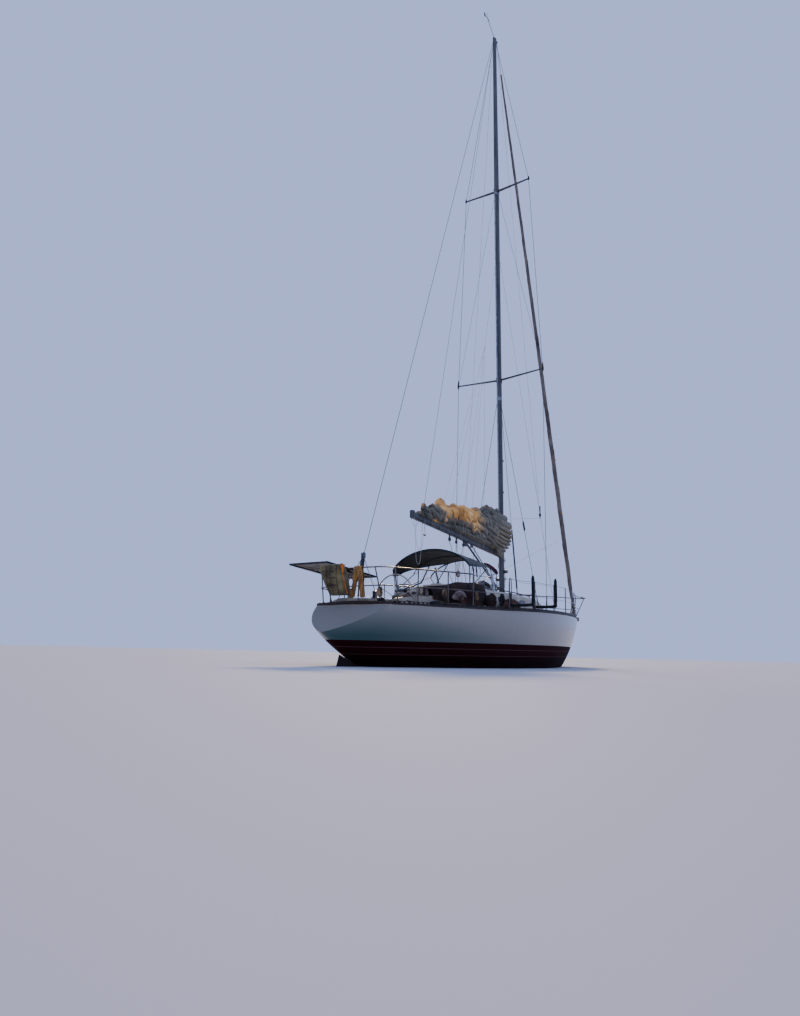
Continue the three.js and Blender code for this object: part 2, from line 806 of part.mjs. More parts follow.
function makeFurledMainsail() {
  const rings = SAIL_ROWS.map(([x, low, high, half]) => {
    const base = boomAt(x)[2] + BOOM_HALF_HEIGHT + GAP;
    const outline = [
      [-half * 0.5, low],
      [half * 0.5, low],
      [half, high * 0.3],
      [half * 0.85, high * 0.7],
      [half * 0.3, high],
      [-half * 0.3, high],
      [-half * 0.85, high * 0.7],
      [-half, high * 0.3],
    ];
    return outline.map(([y, up]) => [x, y, base + up]);
  });
  return loft(rings);
}

function makeVang() {
  const foot = [BOOM_PIVOT_X, 0, 1995];
  const lift = (x) => boomAt(x)[2] - BOOM_HALF_HEIGHT - GAP;
  const struts = [
    rod([912, 0, 2006], [-700, 0, 2990], 26, 26, 8),
    rod([918, 0, 2007], [-420, 0, 2960], 12, 12, 6),
  ];
  const eye = box([foot[0] - 60, -20, 1973], [foot[0] + 20, 20, 2017]);
  const plates = [-700, -420].map((x) => box([x - 50, -16, 2900], [x + 50, 16, lift(x) + 40]));
  const bore = rod([BOOM_PIVOT_X, 0, 1900], [BOOM_PIVOT_X, 0, 2100], 8.7, 8.7, 12);
  return cut(join(struts, eye, plates), bore, loft([boomRing(1000, GAP), boomRing(-1500, GAP)]));
}

// Cockpit fittings
function makeSteeringWheel() {
  const rim = new THREE.TorusGeometry(WHEEL_RADIUS - 14, 14, 6, 32);
  rim.rotateY(Math.PI / 2);
  rim.translate(...WHEEL_CENTRE);
  const [x, y, z] = WHEEL_CENTRE;
  const spokes = Array.from({ length: 6 }, (_, i) => {
    const angle = (i / 6) * 2 * Math.PI + Math.PI / 6;
    const end = [x, y + (WHEEL_RADIUS - 14) * Math.cos(angle), z + (WHEEL_RADIUS - 14) * Math.sin(angle)];
    return rod(WHEEL_CENTRE, end, 8, 8, 6);
  });
  const hub = rod([x - 30, y, z], [x + 30, y, z], 48, 48, 12);
  const bore = rod([x - 60, y, z], [x + 60, y, z], 15 + RUNNING_GAP, 15 + RUNNING_GAP, 12);
  return cut(join(solid(rim), spokes, hub), bore);
}

function makePedestal() {
  const [x, y, z] = WHEEL_CENTRE;
  const profile = [
    [0, 0],
    [150, 0],
    [150, 25],
    [80, 60],
    [72, 650],
    [105, 720],
    [105, 790],
    [70, 850],
    [0, 870],
  ];
  const column = turned(profile, [x + 190, 0, COCKPIT_FLOOR_Z + GAP], 12);
  const axle = rod([x - 45, y, z], [x + 150, y, z], 15, 15, 12);
  const nut = rod([x - 60, y, z], [x - 36, y, z], 26, 26, 8);
  const guard = tube([
    [x + 330, -150, COCKPIT_FLOOR_Z + GAP + 1],
    [x + 330, -155, 1400],
    [x + 330, -120, 1740],
    [x + 330, 120, 1740],
    [x + 330, 155, 1400],
    [x + 330, 150, COCKPIT_FLOOR_Z + GAP + 1],
  ], 13, 16);
  const tie = box([x + 250, -30, 1480], [x + 340, 30, 1500]);
  const bar = box([x + 322, -152, 1480], [x + 338, 152, 1500]);
  return join(column, axle, nut, guard, tie, bar);
}

function makeWinch(x, y, radius, height) {
  const profile = [ // shares of the radius and of the height; below the base in mm
    [0, -60],
    [1.1, -60],
    [1.1, 0.12],
    [0.72, 0.2],
    [0.66, 0.8],
    [0.95, 0.9],
    [0.95, 0.97],
    [0.5, 1],
    [0, 1],
  ];
  const rows = profile.map(([r, h]) => [r * radius, h < 0 ? h : h * height]);
  return seat(turned(rows, [x, y, 1490], 14), coamingPort);
}

// Dodger over the companionway: a vaulted roof, two sides and a windscreen, with its windows open
const DODGER_ROWS = [ // station, half width, eave height, crown height
  [-2270, 1060, 2170, 2635],
  [-1900, 1050, 2170, 2625],
  [-1300, 1000, 2160, 2570],
  [-850, 930, 2140, 2500],
];

function dodgerRing([x, half, eave, crown], low, inset) {
  const side = [
    [half + 20 - inset, low],
    [half - inset, eave],
    [half * 0.86 - inset * 0.8, eave + (crown - eave) * 0.52 - inset * 0.6],
    [half * 0.5, eave + (crown - eave) * 0.87 - inset],
  ];
  const port = side.map(([y, z]) => [x, y, z]);
  const starboard = side.map(([y, z]) => [x, -y, z]).reverse();
  return [...port, [x, 0, crown - inset], ...starboard];
}

function makeDodgerCanopy() {
  const cloth = 14;
  const front = DODGER_ROWS.at(-1);
  const outer = loft([
    ...DODGER_ROWS.map((row) => dodgerRing(row, 1500, 0)),
    dodgerRing([-640, front[1] - 90, 1790, 1860], 1500, 0),
  ]);
  const inner = loft([
    dodgerRing([-2400, 1060, 2170, 2635], 1400, cloth),
    ...DODGER_ROWS.map((row) => dodgerRing(row, 1400, cloth)),
    dodgerRing([-654, front[1] - 100, 1776, 1846], 1400, cloth),
  ]);
  const sideWindow = [
    [-1650, 1860],
    [-960, 1860],
    [-960, 2120],
    [-1600, 2090],
  ];
  const screenWindow = [
    [-1000, 1960],
    [-400, 1960],
    [-400, 2330],
    [-1000, 2330],
  ];
  const through = (outline, from, to) =>
    loft([from, to].map((y) => outline.map(([x, z]) => [x, y, z])));
  const openAft = loft([-1300, 1300].map((y) =>
    [[-2500, 1300], [-2020, 1300], [-2020, 1800], [-2100, 2000], [-2500, 2140]].map(([x, z]) => [x, y, z])));
  const shell = cut(
    outer,
    inner,
    through(sideWindow, -1300, 1300),
    through(screenWindow, -700, -280),
    through(screenWindow, -250, 250),
    through(screenWindow, 280, 700),
    openAft,
  );
  return cut(shell, coachroofMass.translate([0, 0, GAP]), deckMass.translate([0, 0, GAP]),
    coamingPort.translate([0, 0, GAP]), mirror(coamingPort).translate([0, 0, GAP]),
    box([-700, -401, 1700], [-600, 401, 1882]));
}

function makeDodgerFrame(canopy) {
  const bow = ([x, half, eave, crown], footX, footZ) => {
    const side = [
      [footX, 1012, footZ],
      [x, half - 46, eave - 20],
      [x, half * 0.82, eave + (crown - eave) * 0.5 - 32],
      [x, half * 0.45, eave + (crown - eave) * 0.84 - 30],
    ];
    const other = side.map(([px, y, z]) => [px, -y, z]).reverse();
    return tube([...side, [x, 0, crown - 23], ...other], 11, 22);
  };
  const aft = bow([-2250, 1060, 2170, 2635], -2190, 1470);
  const fore = bow([-1500, 1015, 2150, 2585], -2196, 1700);
  const carriers = [coachroofMass, coamingPort, mirror(coamingPort), deckMass];
  const pivots = [-1, 1].map((side) => {
    const [a, b] = [side * 1000, side * 1022].sort((p, q) => p - q);
    return box([-2230, a, 1690], [-2175, b, 1735]);
  });
  return cut(
    join(aft, fore, pivots),
    carriers.map((carrier) => carrier.translate([0, 0, GAP])),
    canopy.translate([0, 0, -GAP]),
  );
}

// Rails and deck edge gear
const SADDLE = 0.4; // clearance of a clamp or a fold round a tube

const railY = (x, inset = 70) => hullAt(x).beam - inset;

function sternTubes(grow = 0) {
  const top = [
    [-5170, 0.2, 1900],
    [-5165, 620, 1900],
    [-5060, 860, 1902],
    [-4760, 985, 1904],
    [-4383, railY(-4383), 1908],
    [-3650, railY(-3650), 1920],
    [-2950, railY(-2950), 1930],
  ];
  const lower = top.map(([x, y, z]) => [x + (x < -5000 ? 70 : 0), y, z - 350]);
  return join(tube(top, RAIL_RADIUS + grow, 14), tube(lower, 11 + grow, 14));
}

function makeSternRail() {
  const posts = [
    [-4885, 645, -5150, 645],
    [-4800, 950, -4900, 942],
    [-4383, railY(-4383), -4383, railY(-4383)],
    [-3650, railY(-3650), -3650, railY(-3650)],
    [-2950, railY(-2950), -2950, railY(-2950)],
  ].map(([footX, footY, headX, headY]) => {
    const z = footX < -4700 ? 1200 : deckEdge(footX) - 20;
    const head = headX < -4850 ? 1902 : 1912;
    return rod([footX, footY, z], [headX, headY, head], 13, 13, 6);
  });
  return seat(join(sternTubes(), posts), deckMass);
}

function makeGuardRail() {
  const feet = [-1700, -560, 600, 1700, 2700];
  const height = (x) => deckEdge(x) + 680;
  const posts = feet.map((x) =>
    join(
      rod([x, railY(x), deckEdge(x) - 20], [x, railY(x), height(x)], 13, 12, 6),
      rod([x, railY(x), deckEdge(x) - 20], [x, railY(x), deckEdge(x) + 70], 20, 20, 6),
    ));
  const stops = [-2932, ...feet, 3682];
  const runs = (drop) => stops.slice(1).map((x, i) => {
    const from = stops[i];
    return rod([from, railY(from), height(from) - drop], [x, railY(x), height(x) - drop], 4, 4, 5);
  });
  return seat(join(posts, runs(12), runs(340)), deckMass);
}

function makePulpit() {
  const half = [
    [3700, railY(3700), deckEdge(3700) + 690],
    [4500, 610, 2075],
    [5300, 330, 2095],
    [6000, 215, 2112],
    [6420, 150, 2122],
  ];
  const topPoints = [...half, [6520, 0, 2125], ...half.map(([x, y, z]) => [x, -y, z]).reverse()];
  const top = tube(topPoints, RAIL_RADIUS, 30);
  const sides = [-1, 1].flatMap((side) => [
    rod([3700, side * railY(3700), deckEdge(3700) - 20], [3700, side * railY(3700), 2065], 13, 13, 6),
    rod([4750, side * 470, deckEdge(4750) - 20], [4900, side * 470, 2085], 13, 13, 6),
    rod([5640, side * 95, deckEdge(5640) - 20], [6260, side * 178, 2118], 13, 13, 6),
    rod([3700, side * railY(3700), 1725], [4822, side * 470, 1735], 10, 10, 6),
    rod([4822, side * 470, 1735], [5930, side * 134, 1740], 10, 10, 6),
  ]);
  return seat(join(top, sides), deckMass);
}

// A padded bracket on the rail that carries surfboards outboard
function makeBoardRack(x) {
  const z = deckEdge(x);
  const arms = tube([
    [x, -1690, z + 380],
    [x, -1690, z + 160],
    [x, -1740, z + 100],
    [x, -2185, z + 100],
    [x, -2240, z + 160],
    [x, -2240, z + 740],
  ], 32, 16, 8);
  const leg = rod([x, -1690, z - 20], [x, -1690, z + 250], 16, 16, 8);
  const plate = box([x - 50, -1740, z - 30], [x + 50, -1640, z + 14]);
  return seat(join(arms, leg, plate), deckMass);
}

function makeMastGuard(side) {
  const y = side * 190;
  const bar = tube([
    [1190, y, 1740],
    [1200, y, 2150],
    [1235, y, 2285],
    [1290, y, 2285],
    [1325, y, 2150],
    [1335, y, 1740],
  ], 13, 16);
  return seat(bar, coachroofMass);
}

const traveller = seat(
  join(
    box([-540, -620, 1925], [-460, 620, 1955]),
    box([-530, -600, 1700], [-470, -560, 1935]),
    box([-530, 560, 1700], [-470, 600, 1935]),
    box([-560, 280, 1945], [-440, 400, 1985]),
    rod([-500, 340, 1975], [-500, 340, 2200], 10, 10, 6),
    rod([-500, 312, 2250], [-500, 368, 2250], 60, 60, 14),
  ),
  coachroofMass,
);

// Solar panel on the port quarter, tilted down towards its fore edge
const PANEL = { aft: -4735, fore: -3035, inner: 950, outer: 2050, aftZ: 2105, foreZ: 1950, depth: 38 };
const PANEL_BAR_RADIUS = 15;

// Height of the middle of the bars under the panel.
const underPanel = (x) =>
  PANEL.aftZ + ((x - PANEL.aft) / (PANEL.fore - PANEL.aft)) * (PANEL.foreZ - PANEL.aftZ) - 10;

function makePanelFrame() {
  const bars = [1100, 1900].map((y) =>
    rod([-4535, y, underPanel(-4535)], [-3135, y, underPanel(-3135)], PANEL_BAR_RADIUS, PANEL_BAR_RADIUS, 6));
  const supports = [ // station, then y and z of the stern rail there
    [-4250, 1178, 1910],
    [-3500, 1404, 1922],
  ];
  const held = supports.flatMap(([x, y, z]) => [
    rod([x, 1000, underPanel(x)], [x, 1950, underPanel(x)], PANEL_BAR_RADIUS, PANEL_BAR_RADIUS, 6),
    box([x - 14, y - 26, z - 28], [x + 14, y + 26, underPanel(x)]),
  ]);
  const [x, y, z] = supports[1];
  const strut = rod([x, y, z - 350], [x, 1850, underPanel(x)], 11, 11, 6);
  return cut(join(bars, held, strut), sternTubes(SADDLE));
}

function makeSolarPanel() {
  const { aft, fore, inner, outer, aftZ, foreZ, depth } = PANEL;
  const ring = (y) => [
    [aft, y, aftZ],
    [fore, y, foreZ],
    [fore, y, foreZ + depth],
    [aft, y, aftZ + depth],
  ];
  return join(loft([ring(inner), ring(outer)]), makePanelFrame());
}

// Canvas bag on the stern rail, leaning aft with it
function makeCanvasBag() {
  const rows = [ // height, aft face x, fore face x, port y, starboard y
    [1370, -5240, -5112, 430, -50],
    [1480, -5290, -5105, 470, -48],
    [1800, -5350, -5150, 600, 10],
    [1980, -5340, -5165, 650, 70],
  ];
  return loft(rows.map(([z, back, front, port, starboard]) => [
    [back, port - 30, z],
    [back, starboard + 30, z],
    [front, starboard, z],
    [front, port, z],
  ]));
}

// Two drapes of cloth folded over the top tube of the stern rail
function makeLashedCloth() {
  const drapes = [-175, -345].map((y) => loft([
    [1935, 26, 70],
    [1850, 30, 60],
    [1640, 34, 85],
    [1310, 38, 110],
  ].map(([z, deep, wide]) => [
    [-5172 - deep, y - wide, z],
    [-5172 + deep, y - wide, z],
    [-5172 + deep, y + wide, z],
    [-5172 - deep, y + wide, z],
  ])));
  return join(drapes, box([-5200, -400, 1880], [-5144, -90, 1935]));
}

// Masthead instruments
function makeWindInstruments() {
  const x = mastAt(MAST_TOP_Z);
  return cut(
    join(
      box([x - 50, -20, 18465], [x + 30, 20, 18500]),
      rod([x - 20, 0, 18485], [x - 420, 0, 18850], 8, 8, 6),
      rod([x - 560, 0, 18860], [x - 300, 0, 18860], 6, 6, 6),
      rod([x - 420, 0, 18840], [x - 420, 0, 19050], 5, 3, 6),
      box([x - 620, -3, 18800], [x - 545, 3, 18920]),
    ),
    mastLoft(0).translate([0, 0, GAP]),
    box([CRANE.aft, -23, CRANE.low], [CRANE.fore, 23, CRANE.high + GAP]),
  );
}

// Materials: colour, roughness, metalness
const PAINT = {
  gelcoat: [0xe9ebe8, 0.35, 0],
  deckPaint: [0xdcd9cd, 0.6, 0],
  antifouling: [0x2a1518, 0.8, 0],
  bronze: [0x9a7340, 0.4, 1],
  engineGrey: [0x6d7478, 0.6, 0.4],
  teak: [0x4a2c1d, 0.7, 0],
  alloy: [0x8f9396, 0.4, 1],
  darkAlloy: [0x4c5560, 0.45, 0.8],
  steel: [0xb9bdc0, 0.25, 1],
  wire: [0x9ea3a6, 0.4, 1],
  sail: [0xb39a68, 0.9, 0],
  genoa: [0x5a4a40, 0.9, 0],
  canvas: [0x1b2526, 0.9, 0],
  black: [0x17181a, 0.6, 0],
  panel: [0xb7bcc0, 0.4, 0],
  bag: [0x6d6b4b, 0.9, 0],
  drape: [0xb08c4e, 0.9, 0],
};

const boat = new THREE.Group();

function place(name, body, finish) {
  const mesh = body.getMesh();
  const geometry = new THREE.BufferGeometry();
  geometry.setAttribute("position", new THREE.BufferAttribute(mesh.vertProperties, 3));
  geometry.setIndex(new THREE.BufferAttribute(mesh.triVerts, 1));
  const [color, roughness, metalness] = PAINT[finish];
  const material = new THREE.MeshStandardMaterial({ color, roughness, metalness, flatShading: true });
  const piece = new THREE.Mesh(geometry, material);
  piece.name = name;
  boat.add(piece);
}

function placePair(name, body, finish) {
  place(`${name}_port`, body, finish);
  place(`${name}_starboard`, mirror(body), finish);
}

place("hull", hull, "gelcoat");
place("keel", keel, "antifouling");
place("skeg", skeg, "antifouling");
place("rudder", makeRudder(), "antifouling");
place("propeller", makePropeller(), "bronze");
place("shaft_strut", makeShaftStrut(), "bronze");
place("engine", engine, "engineGrey");
place("deck", deck, "deckPaint");
place("coachroof", coachroof, "deckPaint");
place("cockpit_tub", cockpitTub, "deckPaint");
placePair("coaming", coamingPort, "deckPaint");
placePair("seat_lid", seatLidPort, "deckPaint");
place("companionway_hatch", companionwayHatch, "deckPaint");
place("washboards", washboards, "teak");
placePair("toe_rail", toeRailPort, "alloy");
place("stern_cap_rail", makeSternCapRail(), "teak");
place("bow_roller", bowRoller, "steel");
place("windlass", windlass, "steel");
place("foredeck_hatch", foredeckHatch, "alloy");
place("mast", makeMast(), "darkAlloy");
place(
  "lower_spreaders",
  makeSpreaders(LOWER_SPREADER_Z, LOWER_SPREADER_REACH, LOWER_SPREADER_LIFT),
  "darkAlloy",
);
place(
  "upper_spreaders",
  makeSpreaders(UPPER_SPREADER_Z, UPPER_SPREADER_REACH, UPPER_SPREADER_LIFT),
  "darkAlloy",
);
placePair("cap_shroud", makeCapShroud(), "wire");
placePair("lower_shroud", makeLowerShroud(), "wire");
place("baby_stay", makeBabyStay(), "wire");
place("backstay", makeBackstay(), "wire");
place("forestay", makeForestay(), "wire");
place("furled_genoa", makeFurledGenoa(), "genoa");
place("furler_drum", makeFurlerDrum(), "black");
place("wind_instruments", makeWindInstruments(), "black");
place("boom", makeBoom(), "darkAlloy");
place("furled_mainsail", makeFurledMainsail(), "sail");
place("boom_vang", makeVang(), "darkAlloy");
place("mainsheet_traveller", traveller, "alloy");
place("steering_wheel", makeSteeringWheel(), "steel");
place("steering_pedestal", makePedestal(), "steel");
placePair("winch_fore", makeWinch(-2900, 1085, 78, 180), "steel");
placePair("winch_aft", makeWinch(-3900, 985, 60, 140), "steel");
const dodgerCanopy = makeDodgerCanopy();
place("dodger_canopy", dodgerCanopy, "canvas");
place("dodger_frame", makeDodgerFrame(dodgerCanopy), "steel");
placePair("stern_rail", makeSternRail(), "steel");
placePair("guard_rail", makeGuardRail(), "steel");
place("bow_pulpit", makePulpit(), "steel");
place("board_rack_aft", makeBoardRack(-1600), "black");
place("board_rack_fore", makeBoardRack(-440), "black");
place("mast_guard_rail", makeMastGuard(-1), "steel");
place("solar_panel", makeSolarPanel(), "panel");
const sternClamp = join(sternTubes(SADDLE), mirror(sternTubes(SADDLE)));
place("canvas_bag", cut(makeCanvasBag(), sternClamp), "bag");
place("lashed_cloth", cut(makeLashedCloth(), sternClamp), "drape");

export default boat;
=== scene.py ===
import math
import random

import bmesh
import bpy
import numpy as np
from mathutils import Matrix, Quaternion, Vector, noise


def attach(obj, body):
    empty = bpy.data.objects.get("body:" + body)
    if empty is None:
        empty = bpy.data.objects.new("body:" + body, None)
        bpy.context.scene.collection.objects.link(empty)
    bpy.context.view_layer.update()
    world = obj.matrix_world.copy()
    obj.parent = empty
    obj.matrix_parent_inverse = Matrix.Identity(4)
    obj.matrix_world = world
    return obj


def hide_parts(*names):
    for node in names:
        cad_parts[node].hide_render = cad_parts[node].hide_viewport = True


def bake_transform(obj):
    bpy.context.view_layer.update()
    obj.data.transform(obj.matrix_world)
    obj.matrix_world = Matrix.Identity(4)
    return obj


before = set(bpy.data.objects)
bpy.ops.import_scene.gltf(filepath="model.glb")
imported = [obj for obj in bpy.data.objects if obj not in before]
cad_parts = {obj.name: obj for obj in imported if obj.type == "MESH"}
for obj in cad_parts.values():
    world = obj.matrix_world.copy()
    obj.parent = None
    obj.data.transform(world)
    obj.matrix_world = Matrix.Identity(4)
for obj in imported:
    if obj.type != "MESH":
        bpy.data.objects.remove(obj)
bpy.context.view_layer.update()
print("frame loaded")


# Camera, floor and light

viewSetup = {
    "place": (-16.687, -9.606, 0.269),  # low over the water off the starboard quarter, metres
    "forward": (0.7940, 0.5781, 0.1880),
    "roll": math.radians(1.294),
    "lens": 26.94,  # mm, on the default 36 mm sensor
    "clip": (0.05, 3000),
    "floorRadius": 900.0,
    "world": ("B0C1F8", 1.12),
    # name, the way its light travels, strength, width in degrees, colour
    "suns": [("backKey", (-0.76, -0.50, -0.41), 3.6, 8, "FFDAA8"),
             ("sternFill", (0.96, 0.16, -0.22), 0.18, 50, "EEE6E0")],
}


def addObject(name, data):
    thing = bpy.data.objects.new(name, data)
    bpy.context.scene.collection.objects.link(thing)
    return thing


def makeCamera():
    camera = addObject("camera", bpy.data.cameras.new("camera"))
    forward = Vector(viewSetup["forward"]).normalized()
    level = forward.cross(Vector((0, 0, 1))).normalized()
    above = level.cross(forward)
    turn = viewSetup["roll"]
    right = level * math.cos(turn) + above * math.sin(turn)
    up = above * math.cos(turn) - level * math.sin(turn)
    rows = zip(right, up, -forward, viewSetup["place"])
    camera.matrix_world = Matrix((*rows, (0, 0, 0, 1)))
    camera.data.lens = viewSetup["lens"]
    camera.data.clip_start, camera.data.clip_end = viewSetup["clip"]
    bpy.context.scene.camera = camera


makeCamera()
print("camera placed")


# Materials: node helpers, a worn finish, and then each material with what it gives the eye

def linear(hexText):
    values = [int(hexText[i:i + 2], 16) / 255 for i in (0, 2, 4)]
    return (*(c / 12.92 if c <= 0.04045 else ((c + 0.055) / 1.055) ** 2.4 for c in values), 1.0)


# Adds a node with its settings and links, and gives back the output that is used
def addNode(tree, kind, settings=None, links=None):
    node = tree.nodes.new("ShaderNode" + kind)
    for key, value in (settings or {}).items():
        if isinstance(key, int) or key in node.inputs:
            node.inputs[key].default_value = value
        else:
            setattr(node, key, value)
    for key, source in (links or {}).items():
        tree.links.new(source, node.inputs[key])
    return node.outputs[2 if kind == "Mix" else 0]


def maths(tree, operation, *terms, **more):
    fixed = {i: term for i, term in enumerate(terms) if isinstance(term, (int, float))}
    linked = {i: term for i, term in enumerate(terms) if i not in fixed}
    return addNode(tree, "Math", {"operation": operation, **more, **fixed}, linked)


def ranged(tree, source, start, end, low=0.0, high=1.0):
    limits = {"From Min": start, "From Max": end, "To Min": low, "To Max": high}
    return addNode(tree, "MapRange", limits, {"Value": source})


# A colour mix; each term is a colour, a number or another node's output
def mixed(tree, share, first, second, blend="MIX"):
    terms = {0: share, 6: first, 7: second}
    fixed = {key: linear(term) if isinstance(term, str) else term
             for key, term in terms.items() if isinstance(term, (float, str))}
    linked = {key: term for key, term in terms.items() if key not in fixed}
    return addNode(tree, "Mix", {"data_type": "RGBA", "blend_type": blend, **fixed}, linked)


def setRamp(tree, source, stops, steps="LINEAR"):
    output = addNode(tree, "ValToRGB", links={"Fac": source})
    ramp = output.node.color_ramp
    ramp.interpolation = steps
    while len(ramp.elements) < len(stops):
        ramp.elements.new(0.5)
    for element, (at, colour) in zip(ramp.elements, stops):
        element.position = at
        element.color = linear(colour) if isinstance(colour, str) else (colour, colour, colour, 1)
    return output


def grainOf(tree, spot, scale, detail, **more):
    return addNode(tree, "TexNoise", {"Scale": scale, "Detail": detail, **more}, {"Vector": spot})


def bumpOn(tree, shader, height, strength, depth, **under):
    relief = addNode(tree, "Bump", {"Strength": strength, "Distance": depth}, {"Height": height, **under})
    tree.links.new(relief, shader.inputs["Normal"])
    return relief


def placeOf(tree):
    return addNode(tree, "TexCoord").node.outputs["Object"]


def axesOf(tree, vector):
    return addNode(tree, "SeparateXYZ", links={"Vector": vector}).node.outputs


def startMaterial(name, colour, roughness, ior=None, metal=0.0, sheen=0.0):
    material = bpy.data.materials.new(name)
    material.use_nodes = True
    tree = material.node_tree
    shader = tree.nodes["Principled BSDF"]
    values = {"Base Color": linear(colour), "Roughness": roughness, "Metallic": metal, "Sheen Weight": sheen}
    if ior:
        values["IOR"] = ior
    for key, value in values.items():
        shader.inputs[key].default_value = value
    return material, tree, shader


# A worn finish: patches between three tones, a change of roughness, and a bump of a real grain; metres
def weather(tree, shader, tones, patch, grain, bump, rough, stretch=(1, 1, 1)):
    spot = addNode(tree, "Mapping", {"Scale": stretch}, {"Vector": placeOf(tree)})
    patches = grainOf(tree, spot, 1 / patch, 8.0, Roughness=0.62)
    tree.links.new(setRamp(tree, patches, list(zip((0.32, 0.50, 0.68), tones))), shader.inputs["Base Color"])
    tree.links.new(ranged(tree, patches, 0.0, 1.0, *rough), shader.inputs["Roughness"])
    return bumpOn(tree, shader, grainOf(tree, spot, 1 / grain, 4.0), 0.6, bump)


def worn(name, colour, roughness, ior, *wear, metal=0.0, sheen=0.0):
    material, tree, shader = startMaterial(name, colour, roughness, ior, metal, sheen)
    weather(tree, shader, *wear)
    return material


# Sprayed gelcoat: glossy white with chalky patches, run marks and a painted boot top; its white is painted
# down to a grey that stands in for the shade on the hull's sides
def gelcoatTopsides():
    paintwork = {
        "top": 0.530,  # height of the boot top's upper edge amidships, metres
        "rise": 0.0055,  # its rise towards the bow, metre per metre
        # the white here is painted shade: a grey well darker than the gelcoat's own white
        "white": "AFABA1", "grey": "9E9A95", "maroon": "2C080A", "line": "5C3638", "bottom": "1C0404",
        # the bands under the boot top's upper edge: where each starts, metres, and its colour
        "bands": [(-0.6, "bottom"), (-0.268, "line"), (-0.256, "maroon"), (-0.135, "line"),
                  (-0.121, "maroon"), (0.0, "white")],
        "reach": (-0.6, 0.1),
    }
    white, grey = paintwork["white"], paintwork["grey"]
    material, tree, shader = startMaterial("topsidesGelcoatSprayed", white, 0.25, 1.5)
    shader.inputs["Coat Roughness"].default_value = 0.16
    spot = placeOf(tree)
    axes = axesOf(tree, spot)
    lift = maths(tree, "MULTIPLY_ADD", axes["X"], -paintwork["rise"], -paintwork["top"])
    level = maths(tree, "ADD", axes["Z"], lift)
    low, high = paintwork["reach"]
    stops = [((at - low) / (high - low), paintwork[colour]) for at, colour in paintwork["bands"]]
    paint = setRamp(tree, ranged(tree, level, low, high), stops, "CONSTANT")
    above = maths(tree, "GREATER_THAN", level, 0.0)
    # Run marks hang straight down, 30 to 80 mm apart
    streaks = addNode(tree, "Mapping", {"Scale": (9.0, 9.0, 0.55)}, {"Vector": spot})
    runs = setRamp(tree, grainOf(tree, streaks, 1.6, 6.0, Roughness=0.7), [(0.42, 0.0), (0.78, 1.0)])
    chalk = setRamp(tree, grainOf(tree, spot, 0.9, 5.0), [(0.35, white), (0.65, grey)])
    chalked = mixed(tree, 0.55, paint, chalk, "MULTIPLY")
    # Rust weeps from the bow fittings
    stain = maths(tree, "MULTIPLY", runs, ranged(tree, axes["X"], 4.3, 5.9, 0.12, 0.95))
    stained = mixed(tree, stain, chalked, "7A5A3C")
    # A painted reflection of green water over the boot top, strongest under the counter
    aftness = ranged(tree, axes["X"], -0.6, -5.2, 0.05, 0.97)
    paintedWaterReflection = maths(tree, "MULTIPLY", ranged(tree, level, 0.60, 0.10), aftness)
    # The raked transom, the only side that looks up, gets painted shade that darkens it, and is made duller
    facing = addNode(tree, "NewGeometry").node.outputs["Normal"]
    upturned = ranged(tree, axesOf(tree, facing)["Z"], 0.35, 0.70)
    waterReflectionTinted = mixed(tree, maths(tree, "SUBTRACT", paintedWaterReflection, upturned, use_clamp=True), stained, "33564C")
    transomPaintedShade = mixed(tree, upturned, waterReflectionTinted, "D6D8DB", "MULTIPLY")
    # The weathered bottom paint hardly shines, and the coat has gone from the transom
    varnish = maths(tree, "MULTIPLY", above, 0.45)
    looks = {
        "Base Color": mixed(tree, above, paint, transomPaintedShade),
        "Roughness": maths(tree, "MULTIPLY_ADD", upturned, 0.5, ranged(tree, above, 0.0, 1.0, 0.85, 0.26)),
        "Specular IOR Level": ranged(tree, above, 0.0, 1.0, 0.08, 0.5),
        "Coat Weight": maths(tree, "SUBTRACT", varnish, upturned, use_clamp=True),
    }
    for key, source in looks.items():
        tree.links.new(source, shader.inputs[key])
    # Slight orange peel of the sprayed coat, 9 mm across so that it shows
    bumpOn(tree, shader, grainOf(tree, spot, 110.0, 2.0), 0.25, 0.0006)
    return material


topsides = gelcoatTopsides()
# Moulded deck: warm white with a grit of non-skid, drawn 6 mm apart so that it shows
deckGel = worn("deckGelcoatMoulded", "CFC9BB", 0.55, 1.5,
               ["7E735F", "A89F8C", "BFB8A8"], 0.6, 0.006, 0.0012, (0.45, 0.7))
# Smooth gelcoat of cabin sides and coamings, soiled in soft runs
cabinGel = worn("cabinGelcoatPolished", "D9D6CC", 0.35, 1.5,
                ["6F6555", "A39A88", "BDB5A6"], 0.45, 0.05, 0.0006, (0.25, 0.5), (1, 1, 0.4))
# Bottom paint rolled on: dead matt with a dark maroon tint and weed shadows
bottomPaint = worn("bottomPaintRolled", "2A1215", 0.85, 1.45,
                   ["0F0808", "261013", "33191A"], 0.35, 0.012, 0.0015, (0.75, 0.95))
# Cast bronze: dull gold with green-brown tarnish in the hollows
bronze = worn("bronzeCast", "8C6A3C", 0.45, None,
              ["3F4A38", "7C5C34", "A27E48"], 0.09, 0.008, 0.0006, (0.35, 0.6), metal=1.0)
# Enamel brushed on the engine: grey-green, oily in patches
enamel = worn("engineEnamelBrushed", "55635F", 0.5, 1.5,
              ["2E3533", "55635F", "62716D"], 0.2, 0.01, 0.0006, (0.4, 0.65))
# Teak left to weather and oiled in places: long dark grain along the board
teakWear = ("3A2015", 0.6, 1.45, ["0E0705", "26130D", "412519"], 0.5, 0.05, 0.0012, (0.45, 0.75))
teakAcross = worn("teakOiledAcross", *teakWear, (14.0, 0.8, 14.0))
teakAlong = worn("teakOiledAlong", *teakWear, (0.8, 14.0, 14.0))
